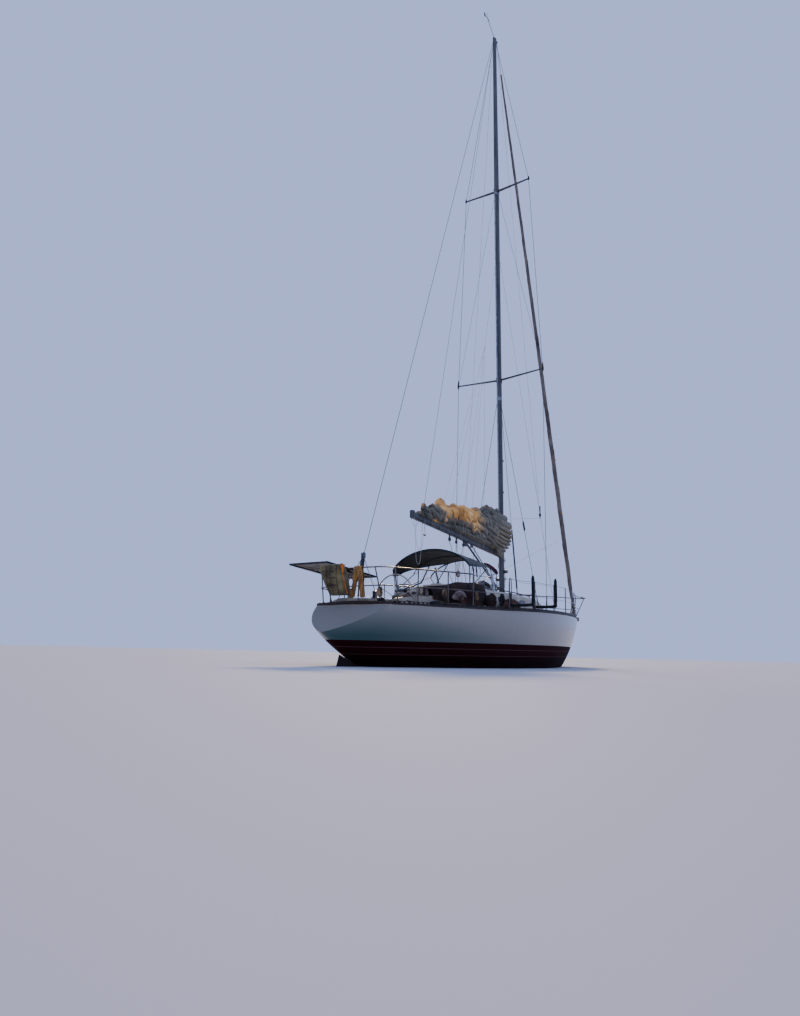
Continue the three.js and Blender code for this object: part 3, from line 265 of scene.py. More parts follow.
# Anodised aluminium: even satin grey with rubbed edges
alloy = worn("aluminiumAnodised", "8E9396", 0.4, None,
             ["6B7073", "8E9396", "A3A8AA"], 0.12, 0.003, 0.0002, (0.3, 0.5), metal=1.0)
# Dark toe rail extrusion, salt dulled
blackAlloy = worn("aluminiumAnodisedBlack", "2B2B2C", 0.5, None,
                  ["171615", "2C2A29", "4A4744"], 0.1, 0.004, 0.0003, (0.4, 0.65), metal=0.8)
# Painted spar: slate blue-grey over alloy, chalked along its length
sparPaint = worn("sparPaintSprayed", "4A5560", 0.42, 1.5,
                 ["2B2E31", "46474A", "63605D"], 0.5, 0.02, 0.0004, (0.32, 0.55), (6, 6, 0.5), metal=0.25)
# Stainless tube, polished, with tea staining
stainless = worn("stainlessPolished", "665F58", 0.28, None,
                 ["3B3734", "645D57", "7C756C"], 0.30, 0.02, 0.00002, (0.22, 0.38), metal=1.0)


# Laid wire: 19 strands drawn as fine slanted grooves 12 mm apart so that they show
def wireRope():
    material, tree, shader = startMaterial("wireRopeLaid", "85898C", 0.35, metal=1.0)
    lay = {"wave_type": "BANDS", "bands_direction": "DIAGONAL", "Scale": 26.0, "Distortion": 0.5}
    grooves = addNode(tree, "TexWave", lay, {"Vector": placeOf(tree)})
    tones = setRamp(tree, grooves, [(0.1, "3A3D42"), (0.8, "6C7279")])
    tree.links.new(tones, shader.inputs["Base Color"])
    bumpOn(tree, shader, grooves, 0.5, 0.001)
    return material


# Old woven sailcloth: slate grey and soiled on its sides, with painted sunlight in gold where light comes
# through the crown, on faces that look up and at the fore tips
def agedSailcloth():
    cloth = {
        "sides": [(0.30, "44433A"), (0.46, "6E6D5E"), (0.62, "8A8674"), (0.74, "A2987C")],
        # the crown's gold tones are painted sunlight
        "crown": [(0.30, "6A4826"), (0.44, "B07E42"), (0.56, "E3AA5C"), (0.70, "F4C888")],
        "slope": 0.1037,  # of the line that parts them, which follows the boom
        "line": (4.00, 4.12),  # heights where the gold starts and is full
    }
    material, tree, shader = startMaterial("sailclothWoven", "79807F", 0.85, 1.4, sheen=0.12)
    spot = placeOf(tree)
    patches = grainOf(tree, spot, 1.7, 7.0, Roughness=0.6)
    sides, crown = setRamp(tree, patches, cloth["sides"]), setRamp(tree, patches, cloth["crown"])
    axes = axesOf(tree, spot)
    over = maths(tree, "MULTIPLY_ADD", axes["X"], cloth["slope"], axes["Z"])
    tongues = grainOf(tree, spot, 2.3, 4.0, Distortion=0.4)
    high = ranged(tree, maths(tree, "MULTIPLY_ADD", tongues, 1.5, over), *cloth["line"])
    lit = maths(tree, "MULTIPLY", high, ranged(tree, axes["X"], -0.20, -0.60))
    geometry = addNode(tree, "NewGeometry").node.outputs
    # Painted sunlight also on faces that look up and at the fore tips of the folds
    paintedTopLight = ranged(tree, axesOf(tree, geometry["Normal"])["Z"], 0.62, 0.92, 0.0, 0.8)
    tips = ranged(tree, axes["X"], 1.05, 1.16, 0.0, 0.75)
    paintedSunlight = maths(tree, "MAXIMUM", lit, maths(tree, "MAXIMUM", paintedTopLight, tips))
    # Painted shade darkens the grooves between the folds, and the ridges are left paler
    grooves = setRamp(tree, geometry["Pointiness"], [(0.470, 0.34), (0.497, 0.85), (0.530, 1.0)])
    clothPaintedLightAndShade = mixed(tree, 1.0, mixed(tree, paintedSunlight, sides, crown), grooves, "MULTIPLY")
    # Painted glow: the sunlit part of the crown emits light, standing in for low sun coming through its thin
    # folds
    glow = maths(tree, "MULTIPLY", lit, 0.16)
    for key, source in {"Base Color": clothPaintedLightAndShade, "Emission Color": clothPaintedLightAndShade, "Emission Strength": glow}.items():
        tree.links.new(source, shader.inputs[key])
    creases = grainOf(tree, spot, 9.0, 5.0, Distortion=1.6)
    # The thread spacing is 0.3 mm, drawn at 4 mm
    weave = addNode(tree, "TexWave", {"Scale": 80.0, "Distortion": 1.0}, {"Vector": spot})
    bumpOn(tree, shader, maths(tree, "MULTIPLY_ADD", weave, 0.05, creases), 0.8, 0.024)
    return material


# Acrylic canvas of the dodger: near black green, faded on top, with a canvas weave drawn at 5 mm
def acrylicCanvas():
    material, tree, shader = startMaterial("acrylicCanvasWoven", "1A2423", 0.9, 1.4, sheen=0.2)
    relief = weather(tree, shader, ["10191A", "1E2A2B", "30403F"], 0.5, 0.03, 0.002, (0.85, 0.95))
    weft, warp = [addNode(tree, "TexWave", {"Scale": 62.0, "bands_direction": way}, {"Vector": placeOf(tree)})
                  for way in ("X", "Y")]
    bumpOn(tree, shader, maths(tree, "MULTIPLY", weft, warp), 0.35, 0.001, Normal=relief)
    return material


# Clear vinyl window: thin, bluish, with soft ripples
def clearVinyl():
    material, tree, shader = startMaterial("vinylPressed", "E6EDF2", 0.08, 1.2)
    shader.inputs["Alpha"].default_value = 0.07
    bumpOn(tree, shader, grainOf(tree, placeOf(tree), 7.0, 2.0), 0.3, 0.004)
    return material


wire = wireRope()
sailcloth = agedSailcloth()
# Sun strip of the rolled headsail: brown-grey cloth with tan edges
sunStrip = worn("sunStripWoven", "4B4138", 0.88, 1.4,
                ["3C3836", "686059", "8A7E70"], 0.22, 0.02, 0.003, (0.8, 0.95), (1, 1, 0.35), sheen=0.1)
canvas = acrylicCanvas()
vinyl = clearVinyl()
# Window vinyl rolled up and tied: cloudy and pale
rolledVinyl = worn("vinylRolled", "AEB6C0", 0.3, 1.45,
                   ["8E969E", "B4BCC6", "D2D8DE"], 0.08, 0.02, 0.003, (0.2, 0.4))
# Smoked acrylic of ports and hatches: near black, with a clean shine
smoked = worn("acrylicSmoked", "0B0D10", 0.08, 1.49,
              ["060708", "0D1014", "171B1F"], 0.3, 0.05, 0.0001, (0.05, 0.2))
# Moulded black nylon of blocks, drums and clips
nylon = worn("nylonMoulded", "111113", 0.5, 1.53,
             ["08080A", "131315", "2A2A2B"], 0.05, 0.002, 0.0002, (0.4, 0.65))
# Black canvas sleeve over foam on the racks
sleeve = worn("canvasSleeveSewn", "0E1113", 0.92, 1.4,
              ["070809", "0F1215", "1D2224"], 0.12, 0.01, 0.002, (0.85, 0.97), sheen=0.15)


# Braided polyester rope, soiled in lengths; strands drawn 10 mm apart
def braidedRope(name, *tones):
    material, tree, shader = startMaterial(name, tones[1], 0.8, 1.45)
    spot = placeOf(tree)
    plait = addNode(tree, "TexVoronoi", {"Scale": 90.0}, {"Vector": spot})
    soil = setRamp(tree, grainOf(tree, spot, 3.0, 6.0), list(zip((0.35, 0.5, 0.65), tones)))
    tree.links.new(soil, shader.inputs["Base Color"])
    bumpOn(tree, shader, plait, 0.6, 0.002)
    return material


whiteRope = braidedRope("ropePolyesterWhite", "7C776C", "B9B4A8", "D6D2C8")
tanRope = braidedRope("ropePolyesterTan", "43372A", "7C664A", "A88C66")
blackRope = braidedRope("ropePolyesterBlack", "0C0D0F", "1A1C1F", "34373A")
redRope = braidedRope("ropePolyesterRed", "2A1513", "57372F", "7C5A50")
# Olive bag canvas, stained, with a heavy weave
olive = worn("bagCanvasWoven", "6A6648", 0.9, 1.4,
             ["39331C", "645938", "82764E"], 0.22, 0.008, 0.003, (0.8, 0.95), sheen=0.2)
# Tan cotton of the drapes, in random patches up to a gold that is painted light, standing in for sun through
# the thin cloth
cotton = worn("cottonDrapeWoven", "B18A4E", 0.9, 1.4,
              ["4A3418", "9A7238", "D6A65C"], 0.16, 0.01, 0.003, (0.8, 0.95), (4, 4, 0.6), sheen=0.25)
# Orange woven edge and lining of the bag
orange = worn("orangeNylonWoven", "E07A1C", 0.8, 1.4,
              ["8C420E", "D9731B", "F2993C"], 0.08, 0.01, 0.002, (0.7, 0.9))
# Maroon cloth of the rolled window cover
maroon = worn("maroonCanvasWoven", "4A1620", 0.9, 1.4,
              ["260A10", "4A1620", "6B2731"], 0.1, 0.01, 0.002, (0.8, 0.95))
# Dark brown vinyl of the cockpit cushions, dull with creases
cushionSkin = worn("vinylSewn", "2A1A14", 0.6, 1.5,
                   ["120B09", "2B1A14", "44302A"], 0.3, 0.02, 0.003, (0.5, 0.75))
# Pale suede laced round the wheel's rim
wheelLeather = worn("wheelSuedeLaced", "A59F95", 0.85, 1.4,
                    ["6E675C", "A39C90", "BDB7AC"], 0.08, 0.006, 0.001, (0.75, 0.95))
# Dark brown cover cloth, faded along its folds
brownCloth = worn("coverCanvasWoven", "22130E", 0.92, 1.4,
                  ["0D0706", "24140F", "42291E"], 0.18, 0.012, 0.003, (0.85, 0.97))
# Faded pink-brown towelling of the rags on the coaming
pinkCloth = worn("towellingWovenPink", "7E625B", 0.95, 1.4,
                 ["261B18", "5A4741", "86726B"], 0.07, 0.008, 0.003, (0.88, 0.98), sheen=0.3)
# Rust-brown canvas of the rolled cover on the side deck
rustCloth = worn("coverCanvasWovenRust", "5A3427", 0.92, 1.4,
                 ["1C0F0B", "43281F", "6E5145"], 0.12, 0.010, 0.003, (0.85, 0.97))
# Solar panel's back sheet, seen from below: chalky and soiled
backSheet = worn("panelBackSheetLaminated", "B5B9BC", 0.5, 1.45,
                 ["4A463C", "6A6558", "857E6C"], 0.4, 0.02, 0.0004, (0.4, 0.6))


# Solar cells: blue-black wafers 156 mm apart behind glass
def panelCells():
    material, tree, shader = startMaterial("panelCellsLaminated", "0B1730", 0.12, 1.5)
    wafers = {
        "offset": 0.0, "Color1": linear("0B1730"), "Color2": linear("101E3A"), "Mortar": linear("8E959C"),
        "Scale": 1.0, "Mortar Size": 0.004, "Brick Width": 0.156, "Row Height": 0.156}
    tree.links.new(addNode(tree, "TexBrick", wafers, {"Vector": placeOf(tree)}), shader.inputs["Base Color"])
    return material


cells = panelCells()
print("materials made")


# Shapes: each is a list of points and a list of faces

bothSides = ((1, "port"), (-1, "starboard"))


def circle(count):
    return [2 * math.pi * k / count for k in range(count)]


def stepped(start, end, count):
    return [start + (end - start) * i / count for i in range(count + 1)]


# A sine or cosine raised to a power with its sign kept: under one squares a ring, over one pinches it
def curved(value, power):
    return math.copysign(abs(value) ** power, value)


def rough(x, y, z):
    return noise.noise(Vector((x, y, z)))


# Rounded swells between sharp creases
def swell(x, y, z):
    return abs(rough(x, y, z))


def ridge(x, y, z):
    return 1 - 2 * swell(x, y, z)


# Corners of an upright rectangle in a section or a plan
def oblong(left, right, low, high):
    return [(left, low), (right, low), (right, high), (left, high)]


def skin(rings, closed=False, wrapped=True):
    count = len(rings[0])
    points = [tuple(p) for ring in rings for p in ring]
    spans = len(rings) if closed else len(rings) - 1
    faces = []
    for i in range(spans):
        a, b = i * count, ((i + 1) % len(rings)) * count
        for j in range(count if wrapped else count - 1):
            k = (j + 1) % count
            faces.append((a + j, a + k, b + k, b + j))
    if wrapped and not closed:
        faces.append(tuple(range(count - 1, -1, -1)))
        faces.append(tuple(range(spans * count, (spans + 1) * count)))
    return points, faces


def joined(*shapes):
    points, faces = [], []
    for shapePoints, shapeFaces in shapes:
        start = len(points)
        points.extend(shapePoints)
        faces.extend(tuple(i + start for i in face) for face in shapeFaces)
    return points, faces


def smoothPath(points, steps):
    path = [Vector(p) for p in points]
    ends = [path[0] * 2 - path[1], *path, path[-1] * 2 - path[-2]]
    made = []
    for i in range(1, len(ends) - 2):
        p0, p1, p2, p3 = ends[i - 1:i + 3]
        for s in range(steps):
            t = s / steps
            made.append(0.5 * (
                2 * p1 + (p2 - p0) * t + (2 * p0 - 5 * p1 + 4 * p2 - p3) * t ** 2
                + (3 * p1 - p0 - 3 * p2 + p3) * t ** 3))
    return [*made, path[-1]]


def tubeShape(points, radius, sides, closed=False, flatten=1.0):
    path = [Vector(p) for p in points]
    sizes = radius if hasattr(radius, "__len__") else [radius] * len(path)
    heading = (path[1] - path[0]).normalized()
    side = heading.orthogonal().normalized()
    rings = []
    for i, point in enumerate(path):
        after = path[(i + 1) % len(path)] if closed or i + 1 < len(path) else point
        before = path[i - 1] if closed or i else point
        ahead = after - before
        ahead = ahead.normalized() if ahead.length > 1e-9 else heading
        hinge = heading.cross(ahead)
        if hinge.length > 1e-7:
            side = Quaternion(hinge.normalized(), heading.angle(ahead)) @ side
        side = (side - ahead * side.dot(ahead)).normalized()
        heading = ahead
        over = heading.cross(side)
        rings.append([point + side * math.cos(a) * sizes[i] + over * math.sin(a) * sizes[i] * flatten
                      for a in circle(sides)])
    return skin(rings, closed=closed)


def rod(a, b, radius, sides, endRadius=None):
    return tubeShape([a, b], [radius, radius if endRadius is None else endRadius], sides)


def bent(points, radius, sides=10, steps=6):
    return tubeShape(smoothPath(points, steps), radius, sides)


# A turned piece: profile rows are distance along the axis, then radius
def turned(profile, base, axis=(0, 0, 1), sides=28):
    turn = Vector(axis).normalized().to_track_quat("Z", "Y")
    return skin([[Vector(base) + turn @ Vector((radius * math.cos(a), radius * math.sin(a), height))
                  for a in circle(sides)] for height, radius in profile])


def weld(work):
    bmesh.ops.remove_doubles(work, verts=work.verts, dist=1e-6)
    bmesh.ops.recalc_face_normals(work, faces=work.faces)


def takeShape(work):
    work.verts.index_update()
    shape = [tuple(v.co) for v in work.verts], [tuple(v.index for v in f.verts) for f in work.faces]
    work.free()
    return shape


def boxShape(low, high, edge, segments=2):
    work = bmesh.new()
    bmesh.ops.create_cube(work, size=1.0)
    size = [h - l for l, h in zip(low, high)]
    middle = [(h + l) / 2 for l, h in zip(low, high)]
    for v in work.verts:
        v.co = Vector([v.co[i] * size[i] + middle[i] for i in range(3)])
    bmesh.ops.bevel(work, geom=work.edges[:], offset=min(edge, min(size) * 0.45), segments=segments,
                    profile=0.5, affect="EDGES")
    return takeShape(work)


def openBox(low, high):
    (x0, y0, z0), (x1, y1, z1) = low, high
    points = [(x, y, z) for z in (z0, z1) for x, y in oblong(x0, x1, y0, y1)]
    return points, [(0, 1, 2, 3)] + [(i, (i + 1) % 4, 4 + (i + 1) % 4, 4 + i) for i in range(4)]


def thicken(shape, amount):
    mesh = bpy.data.meshes.new("thicken")
    mesh.from_pydata([tuple(p) for p in shape[0]], [], shape[1])
    work = bmesh.new()
    work.from_mesh(mesh)
    bpy.data.meshes.remove(mesh)
    weld(work)
    bmesh.ops.solidify(work, geom=work.faces[:], thickness=amount)
    return takeShape(work)


def mirrored(shape):
    points, faces = shape
    return [(x, -y, z) for x, y, z in points], [tuple(reversed(f)) for f in faces]


def smoothFaces(mesh, angle):
    mesh.polygons.foreach_set("use_smooth", [True] * len(mesh.polygons))
    mesh.set_sharp_from_angle(angle=math.radians(angle))


# A piece from (shape or list of shapes, finish) pairs; body is None where the piece is left unattached
def makePiece(name, parts, body="boat", replaced=(), angle=38):
    parts = [(joined(*shape) if isinstance(shape, list) else shape, finish) for shape, finish in parts]
    points, faces = joined(*[shape for shape, _ in parts])
    mesh = bpy.data.meshes.new(name)
    mesh.from_pydata(points, [], faces)
    finishes = list(dict.fromkeys(finish for _, finish in parts))
    for finish in finishes:
        mesh.materials.append(finish)
    mesh.polygons.foreach_set(
        "material_index", [finishes.index(finish) for shape, finish in parts for _ in shape[1]])
    work = bmesh.new()
    work.from_mesh(mesh)
    weld(work)
    work.to_mesh(mesh)
    work.free()
    smoothFaces(mesh, angle)
    piece = addObject(name, mesh)
    if body:
        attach(piece, body)
    if replaced:
        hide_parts(*replaced)
    return piece


# Smooth values between the rows of a table whose first column is the station
def smoothRows(rows):
    table = np.array(rows, float)
    xs, ys = table[:, 0], table[:, 1:]
    gaps = np.diff(xs)
    slopes = np.diff(ys, axis=0) / gaps[:, None]
    tangents = np.empty_like(ys)
    tangents[0], tangents[-1] = slopes[0], slopes[-1]
    weights = (gaps[1:] + gaps[:-1])[:, None]
    tangents[1:-1] = (slopes[:-1] * gaps[1:, None] + slopes[1:] * gaps[:-1, None]) / weights

    def at(x):
        i = int(np.clip(np.searchsorted(xs, x) - 1, 0, len(xs) - 2))
        h = gaps[i]
        t = min(max((x - xs[i]) / h, 0.0), 1.0)
        return (
            (2 * t ** 3 - 3 * t ** 2 + 1) * ys[i] + (t ** 3 - 2 * t ** 2 + t) * h * tangents[i]
            + (3 * t ** 2 - 2 * t ** 3) * ys[i + 1] + (t ** 3 - t ** 2) * h * tangents[i + 1]).tolist()
    return at


def straightRows(rows):
    table = np.array(rows, float)
    return lambda x: [float(np.interp(x, table[:, 0], column)) for column in table.T[1:]]


# Hull

hullForm = {
    # station, half beam at the sheer, sheer height, depth of the body, fullness; metres
    "stations": [
        (-5.915, 0.400, 1.168, 0.634, 1.6), (-5.685, 0.600, 1.170, 0.504, 1.6),
        (-5.345, 0.815, 1.174, 0.302, 1.5), (-5.015, 0.945, 1.180, 0.132, 1.5),
        (-4.335, 1.220, 1.186, -0.150, 1.7), (-3.335, 1.530, 1.197, -0.380, 2.0),
        (-2.335, 1.725, 1.214, -0.530, 2.4), (-1.335, 1.835, 1.244, -0.620, 2.6),
        (-0.335, 1.858, 1.273, -0.650, 2.6), (0.665, 1.790, 1.293, -0.640, 2.5),
        (1.665, 1.620, 1.309, -0.590, 2.2), (2.665, 1.355, 1.324, -0.500, 1.9),
        (3.665, 1.003, 1.339, -0.350, 1.6), (4.415, 0.700, 1.352, -0.170, 1.4),
        (5.015, 0.440, 1.362, 0.240, 1.3), (5.415, 0.260, 1.369, 0.580, 1.25),
        (5.715, 0.120, 1.375, 1.045, 1.2), (5.915, 0.030, 1.379, 1.345, 1.2),
    ],
    "transomFoot": (-5.910, 0.634),  # x, z of the aftmost point
    "transomHead": (-5.015, 1.180),
    "transomReach": (-5.915, -4.6),  # the transom's edge lies between these stations
    "transomCrown": 0.035,  # how far the transom bulges aft in its middle
    "stem": 5.915,
    "lengthSteps": 110, "girthSteps": 26, "crownSteps": 14,
    "deckThickness": 0.035,
    # open liners under the seat lid (each side), the foredeck hatch and the companionway
    "locker": ((-3.13, 0.54, 0.82), (-2.42, 0.88, 1.19)),
    "peak": ((2.99, -0.26, 0.52), (3.51, 0.26, 1.36)),
    "well": ((-1.95, -0.80, -0.35), (1.70, 0.80, 1.28)),
}
hullAt = smoothRows(hullForm["stations"])
hullStraight = straightRows(hullForm["stations"])


def hullPoint(x, angle):
    beam, sheer, depth, fullness = hullAt(x)
    power = 2 / fullness
    down = (sheer - depth) * max(math.cos(angle), 0.0) ** power
    return x, beam * max(math.sin(angle), 0.0) ** power, sheer - down


def transomX(z):
    (x0, z0), (x1, z1) = hullForm["transomFoot"], hullForm["transomHead"]
    return x0 + (z - z0) * (x1 - x0) / (z1 - z0)


def hullStart(angle):
    low, high = hullForm["transomReach"]
    for _ in range(40):
        middle = (low + high) / 2
        if middle < transomX(hullPoint(middle, angle)[2]):
            low = middle
        else:
            high = middle
    return high


def makeHull():
    half = []
    for angle in stepped(0, math.pi / 2, hullForm["girthSteps"]):
        start = hullStart(angle)
        shares = [t + 0.10 * math.sin(2 * math.pi * t) / (2 * math.pi)
                  for t in stepped(0, 1, hullForm["lengthSteps"])]
        half.append([hullPoint(start + (hullForm["stem"] - start) * share, angle) for share in shares])
    starboard = [[(x, -y, z) for x, y, z in line] for line in half[1:]]
    body = skin(half[::-1] + starboard, wrapped=False)
    rows = []
    for line in reversed(half):
        x, y, z = line[0]
        width = max(y, 1e-4)
        crown = hullForm["transomCrown"] * min(1, width / 0.5)
        rows.append([(x - crown * (1 - share ** 2), -width * share, z)
                     for share in stepped(-1, 1, hullForm["crownSteps"])])
    locker = openBox(*hullForm["locker"])
    liners = [locker, mirrored(locker), openBox(*hullForm["peak"]), openBox(*hullForm["well"])]
    makePiece("hullMoulding", [([body, skin(rows, wrapped=False)], topsides), (liners, cabinGel)],
              replaced=["hull"], angle=20)


def deckEdge(x):
    return hullStraight(x)[1] + hullForm["deckThickness"]


# Toe rail: a slotted dark extrusion on a teak strake that follows the sheer
toeRail = {
    "aft": -4.93, "fore": 5.64,
    "gap": 0.12,  # between the sections that it is drawn through
    "pitch": 0.100,  # from slot to slot
    "slot": 0.062,
    "height": 0.046,
    "inset": 0.020,  # from the hull's edge to the rail's outer face
    "plate": 0.006,
    "openTo": -4.10,  # slots show aft of here; further forward the web is closed
    # off the hull's edge, over the deck's edge
    "strake": [(-0.052, -0.004), (-0.052, 0.003), (0.008, 0.003), (0.012, -0.004), (0.012, -0.024),
               (0.006, -0.028), (0.001, -0.028), (0.001, -0.004)],
    "strakeEnds": (-4.985, 5.90),
    "cleats": (-4.55, 4.45),
}


def sheerRing(section, x):
    beam, edge = hullAt(x)[0], deckEdge(x)
    return [(x, beam + out, edge + up) for out, up in section]


def alongSheer(section, start, end):
    return skin([sheerRing(section, x) for x in stepped(start, end, int((end - start) / toeRail["gap"]))])


# Mooring cleat: two horns on two legs on a base plate
def cleatShape(x, side):
    y, z = side * (hullStraight(x)[0] - 0.075), deckEdge(x) - 0.004
    base = boxShape((x - 0.06, y - 0.028, z), (x + 0.06, y + 0.028, z + 0.018), 0.006)
    legs = [rod((x + d, y, z + 0.012), (x + d * 1.5, y, z + 0.062), 0.013, 12, 0.011)
            for d in (-0.028, 0.028)]
    route = [(-0.12, 0.070), (-0.06, 0.060), (0, 0.058), (0.06, 0.060), (0.12, 0.070)]
    taper = [0.006, 0.009, 0.011, 0.012, 0.012]
    horn = tubeShape(smoothPath([(x + d, y, z + up) for d, up in route], 4),
                     [*taper, *[0.013] * 7, *taper[::-1]], 12)
    return joined(base, *legs, horn)


def makeToeRail():
    outer, top = -toeRail["inset"], toeRail["height"]
    inner = outer - toeRail["plate"]
    bands = [oblong(inner, outer, 0.0, 0.012), oblong(inner - 0.004, outer + 0.003, top - 0.012, top),
             oblong(inner - 0.030, inner, 0.0, 0.005)]
    web = oblong(inner, outer, 0.010, top - 0.010)
    rail = [alongSheer(band, toeRail["aft"], toeRail["fore"]) for band in bands]
    rail.append(alongSheer(web, toeRail["openTo"], toeRail["fore"]))
    x = toeRail["aft"]
    while x < toeRail["openTo"]:
        rail.append(skin([sheerRing(web, end) for end in (x, x + toeRail["pitch"] - toeRail["slot"])]))
        x += toeRail["pitch"]
    parts = [(joined(*rail), blackAlloy), (alongSheer(toeRail["strake"], *toeRail["strakeEnds"]), teakAlong)]
    for side, name in bothSides:
        cleats = [cleatShape(x, side) for x in toeRail["cleats"]]
        sided = parts if side > 0 else [(mirrored(shape), finish) for shape, finish in parts]
        makePiece("slottedRail_" + name, [*sided, (cleats, stainless)],
                  replaced=["toe_rail_" + name])


# Teak cap over the head of the transom, arched, with rounded edges
capForm = {
    "fore": -4.930, "aft": -4.990, "half": 0.958, "low": 1.216, "arch": 0.036,
    "bend": 0.010,  # how far its middle lies further aft
    "knee": 0.579,  # off the centreline, where the arch starts to fall faster
}


def makeSternCap():
    rings = []
    for share in stepped(-1, 1, 40):
        y = capForm["half"] * share
        out = abs(y) / capForm["knee"]
        rise = max(1 - 0.36 * out if out <= 1 else 0.64 - 0.64 * (out - 1) / 0.65, 0.05)
        z = capForm["low"] + capForm["arch"] * rise
        bend = capForm["bend"] * (1 - share ** 2)
        fore, aft = capForm["fore"] - bend, capForm["aft"] - bend
        section = [(fore, -0.030), (fore, 0.018), (fore - 0.008, 0.026), (aft + 0.010, 0.026), (aft, 0.016),
                   (aft - 0.004, -0.022), (aft + 0.006, -0.034)]
        rings.append([(x, y, z + up) for x, up in section])
    makePiece("transomCap", [(skin(rings), teakAcross)], replaced=["stern_cap_rail"])


makeHull()
print("hull made")
makeToeRail()
makeSternCap()
print("sheer made")


# Carried-over solids take their finishes here
cadFinish = {name: finish for finish, names in (
    (bottomPaint, ["keel", "skeg", "rudder"]),
    (bronze, ["propeller", "shaft_strut"]),
    (enamel, ["engine"]),
    (deckGel, ["deck", "cockpit_tub", "seat_lid_port", "seat_lid_starboard", "companionway_hatch"]),
    (cabinGel, ["coachroof", "coaming_port", "coaming_starboard"]),
    (teakAcross, ["washboards"]),
    (stainless, ["bow_roller", "mast_guard_rail"]),
    (sparPaint, ["mast", "lower_spreaders", "upper_spreaders", "boom", "boom_vang"]),
    (wire, ["cap_shroud_port", "cap_shroud_starboard", "lower_shroud_port", "lower_shroud_starboard",
            "baby_stay", "backstay", "forestay"]),
    (nylon, ["wind_instruments"]),
    (alloy, ["mainsheet_traveller"]),
) for name in names}


def finishCadNodes():
    for name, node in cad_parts.items():
        if name not in cadFinish:
            continue
        mesh = node.data
        mesh.materials.clear()
        mesh.materials.append(cadFinish[name])
        if "custom_normal" in mesh.attributes:
            mesh.attributes.remove(mesh.attributes["custom_normal"])
        mesh.polygons.foreach_set("material_index", [0] * len(mesh.polygons))
        smoothFaces(mesh, 32)


finishCadNodes()
print("solids finished")


# Flaked mainsail: a crumpled bundle on the boom, with the luff folds stacked by the mast

boomForm = {"goose": (0.975, 2.905), "rise": 0.1037, "halfDepth": 0.075}  # metre per metre, rising aft
sailForm = {
    # station, top of the bundle, half width; metres
    "rows": [
        (-2.80, 3.450, 0.060), (-2.62, 3.520, 0.105), (-2.34, 3.590, 0.135), (-2.05, 3.650, 0.165),
        (-1.87, 3.700, 0.170), (-1.65, 3.735, 0.185), (-1.22, 3.845, 0.215), (-0.60, 3.860, 0.245),
        (-0.20, 3.900, 0.255), (0.14, 4.050, 0.265), (0.42, 3.990, 0.255), (0.62, 4.020, 0.170),
        (0.80, 4.050, 0.085), (0.90, 3.930, 0.045),
    ],
    "lap": 0.045,  # how far the cloth laps down the boom's sides
    "alongSteps": 200, "aroundSteps": 104,
    "broad": 0.150, "crumple": 0.120, "fine": 0.085, "stack": 0.045,  # depths of the folds
    "flakes": 0.125,  # height of one flake where they lie stacked, near the mast
    "sink": 0.065,  # what the bundle loses so that the folds end at its outline
    # folds that stand up out of the bundle: foot, head, length along the boom, thickness
    "standing": [
        ((-2.610, -0.030, 3.50), (-2.625, -0.030, 3.655), 0.130, 0.060),
        ((-2.300, -0.040, 3.55), (-2.290, -0.040, 3.700), 0.150, 0.065),
        ((-1.930, -0.060, 3.45), (-1.960, -0.060, 3.885), 0.560, 0.070),
        ((-1.450, -0.080, 3.62), (-1.420, -0.080, 3.850), 0.260, 0.075),
        ((0.300, -0.100, 3.75), (0.160, -0.100, 4.085), 0.300, 0.055),
        ((0.780, -0.080, 3.70), (0.700, -0.090, 4.080), 0.240, 0.060),
    ],
    # each leaf of the luff: where it leaves the bundle, where its fold ends, its half height, its thickness
    "luff": [
        ((0.35, -0.15, 3.90), (1.17, -0.20, 3.83), 0.120, 0.085),
        ((0.30, -0.18, 3.78), (1.31, -0.25, 3.64), 0.125, 0.095),
        ((0.30, -0.20, 3.66), (1.33, -0.27, 3.47), 0.070, 0.085),
        ((0.30, -0.20, 3.54), (1.32, -0.26, 3.345), 0.058, 0.080),
        ((0.30, -0.20, 3.42), (1.30, -0.25, 3.245), 0.052, 0.078),
        ((0.30, -0.19, 3.31), (1.27, -0.24, 3.155), 0.050, 0.075),
        ((0.35, -0.17, 3.21), (1.22, -0.22, 3.065), 0.050, 0.070),
        ((0.40, -0.15, 3.12), (1.13, -0.18, 2.975), 0.052, 0.065),
        ((0.60, -0.13, 3.05), (1.02, -0.16, 2.850), 0.075, 0.060),
        ((0.50, 0.16, 3.72), (1.24, 0.20, 3.62), 0.110, 0.080),
        ((0.50, 0.18, 3.46), (1.22, 0.21, 3.36), 0.080, 0.075),
        ((0.50, 0.17, 3.26), (1.15, 0.20, 3.14), 0.060, 0.070),
    ],
    "luffSetBack": 0.12,  # how much further aft the leaves end than their tabled points
}


# A point by the boom's axis at a station
def boomAt(x, y=0.0, up=0.0):
    pivotX, pivotZ = boomForm["goose"]
    return x, y, pivotZ + (pivotX - x) * boomForm["rise"] + up


